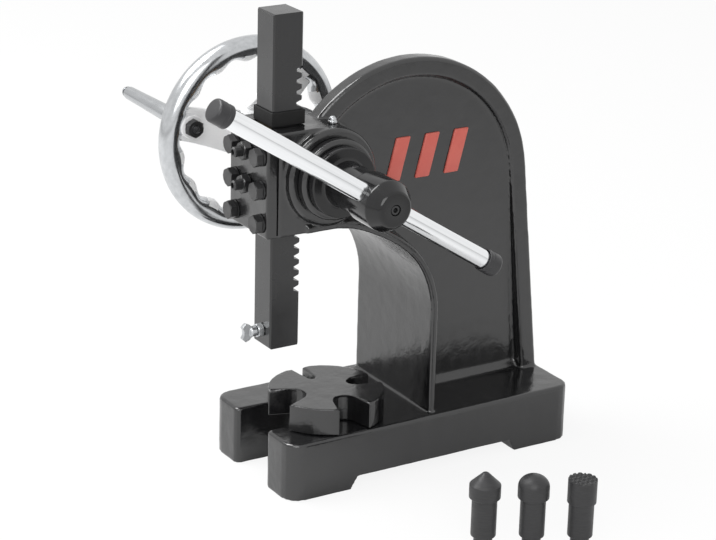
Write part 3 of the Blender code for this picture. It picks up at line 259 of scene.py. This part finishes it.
# A metal that was cut on a machine: fine lines along one direction, under a thin film of oil
# that leaves soft smudges in the gloss.
def cutMetal(name, look):
    values = {"Metallic": look["metallic"]}
    if look["metallic"] < 1:
        values["IOR"] = look["ior"]
    material, tree, shader, place = newMaterial(name, values)
    along = addNode(tree, "Mapping", {"Rotation": (look.get("turned", 0), 0, 0)}, {"Vector": place})
    stretch = addNode(tree, "Mapping", {"Scale": [perMm(size) for size in look["lineMm"]]},
                      {"Vector": along.outputs[0]})
    lines = addNode(tree, "TexNoise", {"Scale": 1, "Detail": 3, "Roughness": 0.6},
                    {"Vector": stretch.outputs[0]})
    smudge = addNode(tree, "TexNoise", {"Scale": perMm(look["smudgeMm"]), "Detail": 4}, {"Vector": place})
    colour = addNode(tree, "Mix", {6: linear(look["dark"]), 7: linear(look["light"])}, {0: lines.outputs[0]},
                     data_type="RGBA")
    gloss = addNode(tree, "MapRange", {"From Min": noiseReach[0], "From Max": noiseReach[1],
                                       "To Min": look["roughness"][0], "To Max": look["roughness"][1]},
                    {"Value": smudge.outputs[0]})
    grooves = addNode(tree, "Bump", {"Distance": mm(look["lineDepth"]), "Strength": 0.6},
                      {"Height": lines.outputs[0]})
    tree.links.new(colour.outputs[2], shader.inputs["Base Color"])
    tree.links.new(gloss.outputs[0], shader.inputs["Roughness"])
    tree.links.new(grooves.outputs[0], shader.inputs["Normal"])
    return material


# Medium carbon steel bar, ground lengthwise and chemically blackened: near-black satin with faint
# long grinding lines. The lines are drawn coarser than the real 0.1 mm so that they show.
blackenedGroundSteel = cutMetal("blackenedGroundSteel", {
    "dark": "#161617", "light": "#212122", "metallic": 0.0, "ior": 1.58, "roughness": (0.2, 0.34),
    "lineMm": (0.7, 0.7, 30), "lineDepth": 0.02, "smudgeMm": 26})
# Free-cutting steel, turned and left bright: pale grey with tight rings round the axis.
turnedBrightSteel = cutMetal("turnedBrightSteel", {
    "dark": "#a9abad", "light": "#c6c8ca", "metallic": 1.0, "roughness": (0.22, 0.36),
    "lineMm": (0.45, 14, 14), "lineDepth": 0.012, "smudgeMm": 12})
# Black-oxide screws, nuts and washers: dark, with an oily satin gloss.
blackOxideSteel = cutMetal("blackOxideSteel", {
    "dark": "#19191a", "light": "#2a2a2b", "metallic": 0.2, "ior": 1.65, "roughness": (0.3, 0.48),
    "lineMm": (5, 5, 0.5), "lineDepth": 0.015, "smudgeMm": 7})
# The loose tips: hardened, then blackened in hot salts, a duller grey-black than the screws.
saltBlackenedTips = cutMetal("saltBlackenedToolSteel", {
    "dark": "#242425", "light": "#3d3d3e", "metallic": 0.0, "ior": 1.42, "roughness": (0.34, 0.5),
    "lineMm": (6, 6, 0.7), "lineDepth": 0.02, "smudgeMm": 6})
# Bearing bronze, bored and turned: warm brown-gold with fine rings.
turnedBronze = cutMetal("turnedBronze", {
    "dark": "#9a7646", "light": "#b58e58", "metallic": 1.0, "roughness": (0.3, 0.42),
    "lineMm": (0.5, 10, 10), "lineDepth": 0.01, "smudgeMm": 9})
# Brass strip, milled along its length and dulled by way oil: brown-yellow with long cutter lines.
milledBrass = cutMetal("milledBrass", {
    "dark": "#62583f", "light": "#7b7053", "metallic": 1.0, "roughness": (0.34, 0.46),
    "lineMm": (0.6, 10, 20), "lineDepth": 0.01, "smudgeMm": 9})
# Steel, buffed and plated with nickel and chromium: a near mirror, with hairlines from the buff
# and faint finger marks that only show in the reflections.
buffedChrome = cutMetal("buffedChrome", {
    "dark": "#dcdee0", "light": "#f4f5f6", "metallic": 1.0, "roughness": (0.06, 0.15),
    "lineMm": (4, 90, 2.6), "turned": leverSlope, "lineDepth": 0.0012, "smudgeMm": 24})
# The same plating on the wheel's cast rim, buffed less: soft, slightly grey reflections.
wheelChrome = cutMetal("buffedWheelChrome", {
    "dark": "#a4a6a8", "light": "#d3d5d7", "metallic": 1.0, "roughness": (0.13, 0.25),
    "lineMm": (3, 6, 6), "lineDepth": 0.004, "smudgeMm": 20})
# The crank grip's chromium over a turned surface: the same metal, softer reflections.
satinChrome = cutMetal("satinChrome", {
    "dark": "#97999b", "light": "#bbbdbf", "metallic": 1.0, "roughness": (0.22, 0.34),
    "lineMm": (30, 2.5, 2.5), "lineDepth": 0.006, "smudgeMm": 18})
# The wheel's flat webs and hub: the same plating over a tumbled casting, a pale satin that
# scatters the light instead of mirroring the press.
satinWebs = cutMetal("platedTumbledIron", {
    "dark": "#eaebec", "light": "#f6f6f6", "metallic": 0.0, "ior": 1.7, "roughness": (0.34, 0.46),
    "lineMm": (1.2, 1.2, 1.2), "lineDepth": 0.02, "smudgeMm": 16})
# Polypropylene end caps, injection moulded: black, low gloss, with a fine spark-eroded grain.
mouldedPolypropylene = sprayedIron("mouldedBlackPolypropylene", dict(
    enamel, deep="#212123", dusty="#2c2c2e", edge="#454547", roughness=(0.34, 0.48), ior=1.52,
    sandMm=0.8, sandDepth=0.03, peelMm=0.5, peelDepth=0.01, cloudMm=(9, 9, 9)))
# Nitrile rubber wiper, pressed in a mould: dull soot black, slightly mottled with oil.
mouldedNitrile = sprayedIron("mouldedNitrileRubber", dict(
    enamel, deep="#0c0c0c", dusty="#141414", edge="#1b1b1b", roughness=(0.55, 0.75), ior=1.4,
    sandMm=0.9, sandDepth=0.03, peelMm=0.5, peelDepth=0.01, cloudMm=(8, 8, 8)))
print("materials mixed")


# Pieces

def newPiece(name, mesh, materials, body, slot, *replaced):
    mesh.materials.clear()  # this also puts every face back on the first material
    for material in materials:
        mesh.materials.append(material)
    piece = bpy.data.objects.new(name, mesh)
    bpy.context.scene.collection.objects.link(piece)
    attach(piece, body)
    if replaced:
        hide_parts(*replaced)


def finished(mesh, steps):  # runs a list of modifiers on a mesh
    helper = bpy.data.objects.new("workHelper", mesh)
    bpy.context.scene.collection.objects.link(helper)
    for kind, settings in steps:
        step = helper.modifiers.new(kind, kind)
        for name, value in settings.items():
            setattr(step, name, value)
    bpy.context.view_layer.update()
    result = bpy.data.meshes.new_from_object(helper.evaluated_get(bpy.context.evaluated_depsgraph_get()))
    bpy.data.objects.remove(helper)
    return result


def shaded(mesh, sharpAngle=32):
    mesh.shade_smooth()
    mesh.set_sharp_from_angle(angle=math.radians(sharpAngle))
    return mesh


def combined(mesh, others, operation):  # joins closed forms to a mesh, or cuts them away
    for other in others:
        tool = bpy.data.objects.new("toolHelper", other)
        bpy.context.scene.collection.objects.link(tool)
        mesh = finished(mesh, [("BOOLEAN", {"operation": operation, "object": tool, "solver": "EXACT"})])
        bpy.data.objects.remove(tool)
    return mesh


# Moulded forms: the solid's edges melt into each other as cast iron's do under paint, and the
# sand leaves the faces very slightly wavy.

melting = {"weldGap": mm(0.001), "softening": 0.5, "waveSize": mm(11), "waveDetail": 1}
waves = bpy.data.textures.new("sandWaves", "CLOUDS")
waves.noise_scale = melting["waveSize"]
waves.noise_depth = melting["waveDetail"]


def meltEdges(mesh, look):
    shape = bmesh.new()
    shape.from_mesh(mesh)
    bmesh.ops.remove_doubles(shape, verts=shape.verts, dist=melting["weldGap"])
    shape.to_mesh(mesh)
    shape.free()
    steps = [("REMESH", {"mode": "VOXEL", "voxel_size": look["voxel"]}),
             ("SMOOTH", {"factor": melting["softening"], "iterations": look["rounds"]})]
    if look["wave"]:  # inward only, so that nothing grows past the solid
        steps.append(("DISPLACE", {"texture": waves, "strength": look["wave"], "mid_level": 1.0}))
    steps.append(("DECIMATE", {"ratio": look["kept"]}))
    melted = finished(mesh, steps)
    melted.shade_smooth()
    return melted


# The solid's long bends are made of short flats, so each point near a bend moves out to the true
# curve: the column's arch, the throat and the round boss on the head. Each has its centre, its
# turns in degrees, and the radii and the distance from the middle plane between which it lies.
castBends = {
    "arch": {"y": baseFront + mm(134.5), "z": pinionAxis.z - mm(37.5), "turns": (5, 147.769), "flats": 16,
             "radii": (mm(90), mm(115)), "across": (0, mm(15.5))},
    "throat": {"y": baseFront + mm(55.1), "z": pinionAxis.z - mm(117), "turns": (0, 90), "flats": 8,
               "radii": (mm(70), mm(87.5)), "across": (0, mm(60))},
    "boss": {"y": pinionAxis.y, "z": pinionAxis.z, "turns": (-180, 180), "flats": 32,
             "radii": (mm(33), mm(39)), "across": (mm(29), mm(37))},
}


def trueBend(mesh, bend):
    first, last = (math.radians(turn) for turn in bend["turns"])
    step = (last - first) / bend["flats"]
    for vertex in mesh.vertices:
        y, z = vertex.co.y - bend["y"], vertex.co.z - bend["z"]
        turn = math.atan2(z, y)
        near = bend["radii"][0] < math.hypot(y, z) < bend["radii"][1]
        if near and first < turn < last and bend["across"][0] <= abs(vertex.co.x) < bend["across"][1]:
            grow = math.cos((turn - first) % step - step / 2) / math.cos(step / 2)
            vertex.co.y, vertex.co.z = bend["y"] + y * grow, bend["z"] + z * grow


moulded = {
    "frame_casting": {
        "name": "castFrame", "body": "frame", "slot": "black_paint", "material": sprayedCastIron,
        "voxel": mm(1.0), "rounds": 4, "wave": mm(0.35), "kept": 0.3, "bends": castBends},
    "front_cover": {
        "name": "castCover", "body": "frame", "slot": "black_paint", "material": sprayedCastIron,
        "voxel": mm(0.55), "rounds": 4, "wave": mm(0.2), "kept": 0.4},
    "anvil_plate": {
        "name": "castAnvilPlate", "body": "anvil_plate", "slot": "black_paint", "material": sprayedCastIron,
        "voxel": mm(0.7), "rounds": 4, "wave": mm(0.25), "kept": 0.4},
    "ram_wiper": {
        "name": "rubberWiper", "body": "frame", "slot": "black_rubber", "material": mouldedNitrile,
        "voxel": mm(0.4), "rounds": 5, "wave": 0, "kept": 0.4},
    "tip_clamp_screw": {
        "name": "wingScrew", "body": "clamp_screw", "slot": "bright_steel", "material": turnedBrightSteel,
        "voxel": mm(0.3), "rounds": 5, "wave": 0, "kept": 0.5},
}
for node, look in moulded.items():
    mesh = meltEdges(frame["nodes"][node].data.copy(), look)
    for bend in look.get("bends", {}).values():
        trueBend(mesh, bend)
    newPiece(look["name"], mesh, [look["material"]], look["body"], look["slot"], node)
    print(look["name"], "moulded with", len(mesh.polygons), "faces")


# Turned pieces: a profile of (along, radius), a third value being that corner's own rounding

roundSteps = 72
wideSteps = 96
smallSteps = 48
alongX = (1, 0, 0)
alongZ = (0, 0, 1)
cornerShare = 0.45  # the most of a side that the rounding of one corner takes up


def softCorners(profile, radius, steps=4):
    soft = [tuple(profile[0][:2])]
    for before, corner, after in zip(profile, profile[1:], profile[2:]):
        here = Vector(corner[:2])
        rounding = corner[2] if len(corner) > 2 else radius
        back, ahead = Vector(before[:2]) - here, Vector(after[:2]) - here
        reach = min(rounding, back.length * cornerShare, ahead.length * cornerShare)
        start, end = here + back.normalized() * reach, here + ahead.normalized() * reach
        for i in range(steps + 1):
            share = i / steps
            soft.append(tuple(start * (1 - share) ** 2 + here * 2 * share * (1 - share) + end * share ** 2))
    soft.append(tuple(profile[-1][:2]))
    return soft


def spin(profile, centre, way, steps=roundSteps):
    shape = bmesh.new()
    turn = Vector(alongZ).rotation_difference(Vector(way)).to_matrix()
    rings = []
    for along, radius in profile:
        count = steps if radius > 0 else 1
        rings.append([shape.verts.new(Vector(centre) + turn @ Vector((
            radius * math.cos(math.tau * i / count), radius * math.sin(math.tau * i / count), along)))
            for i in range(count)])
    closed = profile[0][1] > 0
    for first, second in zip(rings, rings[1:] + (rings[:1] if closed else [])):
        for i in range(steps):
            j = (i + 1) % steps
            corners = (first[i % len(first)], first[j % len(first)], second[j % len(second)],
                       second[i % len(second)])
            shape.faces.new(list(dict.fromkeys(corners)))
    bmesh.ops.recalc_face_normals(shape, faces=shape.faces)
    mesh = bpy.data.meshes.new("turned")
    shape.to_mesh(mesh)
    shape.free()
    return mesh


def rod(radius, low, high, centre, way):
    return spin([(low, 0), (low, radius), (high, radius), (high, 0)], centre, way)


def block(outline, axis, low, high, soften=0.0, sharpAngle=30, segments=3):  # an outline pushed along an axis
    shape = bmesh.new()
    rows = []
    for along in (low, high):
        rows.append([shape.verts.new({"X": (along, u, v), "Y": (u, along, v), "Z": (u, v, along)}[axis])
                     for u, v in outline])
    shape.faces.new(rows[0])
    shape.faces.new(rows[1])
    for i in range(len(outline)):
        j = (i + 1) % len(outline)
        shape.faces.new((rows[0][i], rows[0][j], rows[1][j], rows[1][i]))
    bmesh.ops.recalc_face_normals(shape, faces=shape.faces)
    if soften:
        sharp = [edge for edge in shape.edges if edge.calc_face_angle(0) > math.radians(sharpAngle)]
        bmesh.ops.bevel(shape, geom=sharp, offset=soften, segments=segments, affect="EDGES", profile=0.5)
    mesh = bpy.data.meshes.new("block")
    shape.to_mesh(mesh)
    shape.free()
    return mesh


shaftLine = Vector((0, pinionAxis.y, pinionAxis.z))
crankLine = Vector((0, crankAxis.y, crankAxis.z))
barCentre = Vector((sum(corner[0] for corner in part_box("lever_bar")) / 2, pinionAxis.y, pinionAxis.z))

# Lever hub: collar, neck and head in one turning, along X in millimetres
hub = {
    "collar": (44.4, 27.2, 7.0), "neck": 17.6, "head": (84.4, 19.6), "headStep": 1.2, "end": 121.9,
    "nose": ((111.4, 19.6, 0.9), (120.7, 13.9, 0.8), (121.9, 12.4, 0.5)), "bore": 12.3, "boreEnd": 86.7,
    "barHole": 7.7, "screwHole": 4.3, "pinHole": 3.3, "pinPlace": 65.4, "drillReach": 40, "drillPast": 5,
    "edge": 1.3, "fillet": 3.0,
}


def makeHub():
    start, collar, length = hub["collar"]
    headStart, head = hub["head"]
    profile = [(hub["boreEnd"], 0), (hub["boreEnd"], hub["bore"]), (start, hub["bore"]), (start, collar),
               (start + length, collar), (start + length, hub["neck"], hub["fillet"]),
               (headStart, hub["neck"], hub["edge"]), (headStart + hub["headStep"], head), *hub["nose"],
               (hub["end"], 0)]
    body = spin(softCorners(inMm(profile), mm(hub["edge"])), shaftLine, alongX, wideSteps)
    drill = mm(hub["drillReach"])
    past = mm(hub["end"]) + mm(hub["drillPast"])
    pinCentre = shaftLine + Vector((mm(hub["pinPlace"]), 0, 0))
    tools = [rod(mm(hub["barHole"]), -drill, drill, barCentre, leverWay),
             rod(mm(hub["screwHole"]), barCentre.x, past, shaftLine, alongX),
             rod(mm(hub["pinHole"]), -drill, drill, pinCentre, alongZ)]
    body = combined(body, tools, "DIFFERENCE")
    newPiece("turnedHub", shaded(body), [sprayedTurnedIron], "pinion", "black_paint", "lever_hub")


# Bearing cap: a ring whose face is stepped, along X in millimetres
cap = {"spigot": 32.0, "start": 36.3, "face": 44.1, "radius": 31.5, "step": 29.2, "stepDepth": 1.6,
       "bore": 15.3, "spigotRadius": 20.1, "edge": 0.9}


def makeCap():
    profile = [(cap["spigot"], cap["bore"]), (cap["spigot"], cap["spigotRadius"]),
               (cap["start"], cap["spigotRadius"]), (cap["start"], cap["radius"]),
               (cap["face"] - cap["stepDepth"], cap["radius"]), (cap["face"], cap["step"]),
               (cap["face"], cap["bore"]), (cap["spigot"], cap["bore"])]
    ring = spin(softCorners(inMm(profile), mm(cap["edge"]))[:-1], shaftLine, alongX, wideSteps)
    newPiece("turnedBearingCap", shaded(ring), [sprayedCastIron], "frame", "black_paint", "bearing_cap")


makeHub()
makeCap()
print("hub and cap turned")

# Lever bar and its two push-on caps, each with a shallow ring round it
bar = {"radius": mm(7.5), "frontReach": mm(163.2), "rearReach": mm(124.9), "capWall": mm(3.5),
       "capGap": mm(0.3), "endRound": mm(1.2)}
barCap = {"radius": mm(9.0), "length": mm(13.5), "nose": mm(2.2), "mouthRound": mm(0.6),
          "ring": mm(0.3), "ringShares": (0.6, 0.64, 0.72, 0.76)}


def makeLever():
    low = -bar["rearReach"] + bar["capWall"] + bar["capGap"]
    high = bar["frontReach"] - bar["capWall"] - bar["capGap"]
    r = bar["radius"]
    profile = softCorners([(low, 0), (low, r), (high, r), (high, 0)], bar["endRound"])
    mesh = spin(profile, barCentre, leverWay)
    newPiece("chromedBar", shaded(mesh), [buffedChrome], "lever", "chrome", "lever_bar")
    r, end, inner = barCap["radius"], barCap["length"], bar["radius"] + bar["capGap"]
    ring = r - barCap["ring"]
    ringStart, ringDeep, ringRise, ringEnd = (end * share for share in barCap["ringShares"])
    profile = softCorners([
        (0, 0), (0, r, barCap["nose"]), (ringStart, r), (ringDeep, ring), (ringRise, ring), (ringEnd, r),
        (end, r), (end, inner), (bar["capWall"], inner), (bar["capWall"], 0)], barCap["mouthRound"])
    for name, node, way, reach in (("frontGripCap", "front_end_cap", 1, bar["frontReach"]),
                                   ("rearGripCap", "rear_end_cap", -1, bar["rearReach"])):
        placed = [(way * (reach - along), radius) for along, radius in profile]
        newPiece(name, shaded(spin(placed, barCentre, leverWay)), [mouldedPolypropylene], "lever",
                 "black_plastic", node)


makeLever()
print("lever made")

# Handwheel: polished round rim with finger waves inside it, satin webs and hub, in millimetres
wheel = {
    "plane": 94, "radius": 79, "rim": 9, "rimSkin": 0.2, "stations": 300, "sides": 28, "sharpAngle": 38,
    "wave": 2.1, "waves": 15, "waveFade": 1.2,
    "webs": 3, "webHub": 36, "webRim": 26, "webThick": 8, "webInner": 14, "webOuter": 67.5, "webEdge": 1.2,
    "webPoints": 16, "hub": 19.5, "hubStart": 63.7, "hubEnd": 102.5, "hubEdge": 2.2,
    "crankBoss": 9.5, "crankBossNear": 84, "crankBossFar": 103, "crankBossEdge": 1.0,
    "bore": 10.3, "boreNear": 50, "crankHole": 3.3, "crankHoleNear": 70, "drillFar": 120,
}
crankTurn = math.atan2(crankAxis.z - pinionAxis.z, crankAxis.y - pinionAxis.y)


def makeRim():
    shape = bmesh.new()
    loops = []
    for i in range(wheel["stations"]):
        turn = math.tau * i / wheel["stations"]
        wave = wheel["wave"] * math.cos(wheel["waves"] * (turn - crankTurn))
        loop = []
        for k in range(wheel["sides"]):
            around = math.tau * k / wheel["sides"]
            inward = max(0.0, -math.cos(around)) ** wheel["waveFade"]
            radius = mm(wheel["radius"] - wheel["rim"] + wheel["rim"] * math.cos(around) - wave * inward)
            loop.append(shape.verts.new((mm(wheel["rim"] * math.sin(around) - wheel["plane"]),
                                         pinionAxis.y + radius * math.cos(turn),
                                         pinionAxis.z + radius * math.sin(turn))))
        loops.append(loop)
    for first, second in zip(loops, loops[1:] + loops[:1]):
        for k in range(wheel["sides"]):
            j = (k + 1) % wheel["sides"]
            shape.faces.new((first[k], first[j], second[j], second[k]))
    bmesh.ops.recalc_face_normals(shape, faces=shape.faces)
    mesh = bpy.data.meshes.new("rim")
    shape.to_mesh(mesh)
    shape.free()
    return mesh


def makeWebs():
    forms = []
    for k in range(wheel["webs"]):
        turn = crankTurn + math.tau * k / wheel["webs"]
        edge = []
        for i in range(wheel["webPoints"] + 1):
            share = i / wheel["webPoints"]
            along = wheel["webInner"] + (wheel["webOuter"] - wheel["webInner"]) * share
            half = (wheel["webHub"] + (wheel["webRim"] - wheel["webHub"]) * math.sin(share * math.pi / 2)) / 2
            edge.append((along, half))
        outline = edge + [(u, -v) for u, v in reversed(edge)]
        outline = [(pinionAxis.y + mm(u * math.cos(turn) - v * math.sin(turn)),
                    pinionAxis.z + mm(u * math.sin(turn) + v * math.cos(turn))) for u, v in outline]
        forms.append(block(outline, "X", -mm(wheel["plane"] + wheel["webThick"] / 2),
                           -mm(wheel["plane"] - wheel["webThick"] / 2), mm(wheel["webEdge"])))
    return forms


def makePlug(near, far, radius, edge, line, steps):  # a round, softened disc between two planes
    profile = inMm([(-far, 0), (-far, radius), (-near, radius), (-near, 0)])
    return spin(softCorners(profile, mm(edge)), line, alongX, steps)


def makeHandwheel():
    middle = makePlug(wheel["hubStart"], wheel["hubEnd"], wheel["hub"], wheel["hubEdge"],
                      shaftLine, wideSteps)
    boss = makePlug(wheel["crankBossNear"], wheel["crankBossFar"], wheel["crankBoss"],
                    wheel["crankBossEdge"], crankLine, roundSteps)
    middle = combined(middle, makeWebs() + [boss], "UNION")
    body = combined(makeRim(), [middle], "UNION")
    far = -mm(wheel["drillFar"])
    body = combined(body, [rod(mm(wheel["bore"]), far, -mm(wheel["boreNear"]), shaftLine, alongX),
                           rod(mm(wheel["crankHole"]), far, -mm(wheel["crankHoleNear"]), crankLine, alongX)],
                    "DIFFERENCE")
    newPiece("polishedHandwheel", shaded(body, wheel["sharpAngle"]), [wheelChrome, satinWebs], "pinion",
             "chrome", "handwheel")
    centre = Vector((-mm(wheel["plane"]), pinionAxis.y, pinionAxis.z))
    tube = mm(wheel["radius"] - wheel["rim"])
    for face in body.polygons:  # the rim's round is polished, all that stands out of it is satin
        offset = face.center - centre
        fromTube = math.hypot(math.hypot(offset.y, offset.z) - tube, offset.x)
        face.material_index = int(fromTube > mm(wheel["rim"] + wheel["rimSkin"]))


makeHandwheel()

# Crank grip: a neck at the wheel and a long taper, as (way from the wheel's boss, radius, that
# corner's own rounding) in millimetres
crank = {"start": 103.3, "hole": 3.05, "edge": 0.7,
         "profile": ((0, 6.0), (4, 6.0), (7, 6.8, 3), (89, 5.3, 2), (92, 3.6, 1.5))}


def makeGrip():
    outside = [(-crank["start"] - along, *rest) for along, *rest in crank["profile"]]
    near, far = (outside[0][0], crank["hole"]), (outside[-1][0], crank["hole"])
    profile = softCorners(inMm([near, *outside, far, near]), mm(crank["edge"]))[:-1]
    newPiece("turnedGrip", shaded(spin(profile, crankLine, alongX)), [satinChrome], "crank_handle",
             "bright_steel", "crank_handle")


# Oil cup: stem, collar and round top, as (height, radius, that corner's own rounding) in millimetres
cup = {"edge": 0.3, "profile": ((276.0, 0), (276.0, 2.6), (285.3, 2.6), (285.3, 3.6), (287.0, 3.6),
                                (287.4, 2.9), (288.9, 3.0, 1.2), (290.5, 1.2, 0.8), (290.5, 0))}


def makeCup():
    x, y = [sum(ends) / 2 for ends in zip(*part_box("oil_cup"))][:2]
    mesh = spin(softCorners(inMm(cup["profile"]), mm(cup["edge"])), (x, y, 0), alongZ, smallSteps)
    newPiece("pressedOilCup", shaded(mesh), [turnedBrightSteel], "frame", "bright_steel", "oil_cup")


makeGrip()
makeCup()
print("wheel and crank made")

# Loose tips: one stem as (height, radius, that corner's own rounding) in millimetres, with three
# different working ends
tip = {
    "stem": ((0, 0), (0, 7.0, 1.2), (14.0, 7.0), (14.0, 9.4, 1.2)), "body": 9.4, "bodyRound": 0.6,
    "bodyTop": {"pointed_tip": 44.3, "domed_tip": 44.3, "serrated_tip": 40.8}, "headRound": 1.4,
    "cone": 9.5, "coneRound": 0.5, "pointNose": 1.9, "pointRound": 1.8, "domeSteps": 16, "crownRound": 0.6,
    "grooves": 4, "grooveDepth": 1.5, "grooveRise": 1.0, "grooveReach": 15, "edge": 0.9,
}


def makeTips():
    steps = tip["domeSteps"]
    for node, bodyTop in tip["bodyTop"].items():
        low, high = (Vector(corner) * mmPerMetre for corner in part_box(node))
        head, top, middle = (high.x - low.x) / 2, high.z, (low + high) / (2 * mmPerMetre)
        neck = [(bodyTop, tip["body"], tip["bodyRound"]), (bodyTop, head, tip["headRound"])]
        shoulder = top - tip["cone"]
        ends = {
            "pointed_tip": [(shoulder, head, tip["coneRound"]), (top, tip["pointNose"], tip["pointRound"])],
            "domed_tip": [(shoulder + tip["cone"] * math.sin(math.pi / 2 * i / steps),
                           head * math.cos(math.pi / 2 * i / steps)) for i in range(steps)],
            "serrated_tip": [(top, head, tip["crownRound"])],
        }
        profile = inMm([*tip["stem"], *neck, *ends[node], (top, 0)])
        mesh = spin(softCorners(profile, mm(tip["edge"])), (middle.x, middle.y, 0), alongZ)
        if node == "serrated_tip":
            mesh = combined(mesh, makeGrooves(middle, head, top), "DIFFERENCE")
        newPiece(node.replace("_t", "T") + "Turned", shaded(mesh), [saltBlackenedTips], node,
                 "black_oxide", node)


def makeGrooves(middle, head, top):
    step, depth, rise = 2 * head / (tip["grooves"] + 1), tip["grooveDepth"], tip["grooveRise"]
    reach = mm(tip["grooveReach"])
    tools = []
    for k in range(tip["grooves"]):
        at = (k + 1) * step - head
        cut = inMm([(at - depth - rise, top + rise), (at, top - depth), (at + depth + rise, top + rise)])
        for axis, beside, along in (("Y", middle.x, middle.y), ("X", middle.y, middle.x)):
            tools.append(block([(beside + u, v) for u, v in cut], axis, along - reach, along + reach))
    return tools


makeTips()
print("tips turned")

# Three raised bars on the column's web, in millimetres: a plain mark, cast with the frame and
# painted red
mark = {"face": 4.3, "proud": 1.5, "bury": 1.2, "low": 224.0, "high": 259.0, "width": 13.0, "slant": 9.0,
        "starts": (-122.0, -95.0, -68.0), "edge": 1.1, "sharpAngle": 50}


def makeMark():
    low, high, slant = mark["low"], mark["high"], mark["slant"]
    for number, begin in enumerate(mark["starts"], 1):
        end = begin + mark["width"]
        outline = inMm([(begin, low), (end, low), (end + slant, high), (begin + slant, high)])
        mesh = block(outline, "X", mm(mark["face"] - mark["bury"]), mm(mark["face"] + mark["proud"]),
                     mm(mark["edge"]))
        newPiece("raisedBar%d" % number, shaded(mesh, mark["sharpAngle"]), [brushedRedEnamel], "frame",
                 "black_paint")


makeMark()
print("pieces made")

finishes = {
    "ground": (blackenedGroundSteel, ["ram"]),
    "bright": (turnedBrightSteel, ["pinion_shaft", "wheel_spacer", "wheel_key", "wheel_washer", "wheel_nut",
                                   "crank_spindle", "clamp_lock_nut"]),
    "oxide": (blackOxideSteel, ["cover_bolt_%d" % k for k in range(1, 7)] + [
        "cover_washer_%d" % k for k in range(1, 7)] + [
        "adjusting_screw_1", "adjusting_screw_2", "lock_nut_1", "lock_nut_2", "bar_grub_screw", "crank_nut",
        "hub_pin"]),
    "bronze": (turnedBronze, ["near_bush", "far_bush"]),
    "brass": (milledBrass, ["gib"]),
}
for material, nodes in finishes.values():
    for node in nodes:
        mesh = frame["nodes"][node].data
        mesh.materials.clear()
        mesh.materials.append(material)
print("carried-over nodes finished")
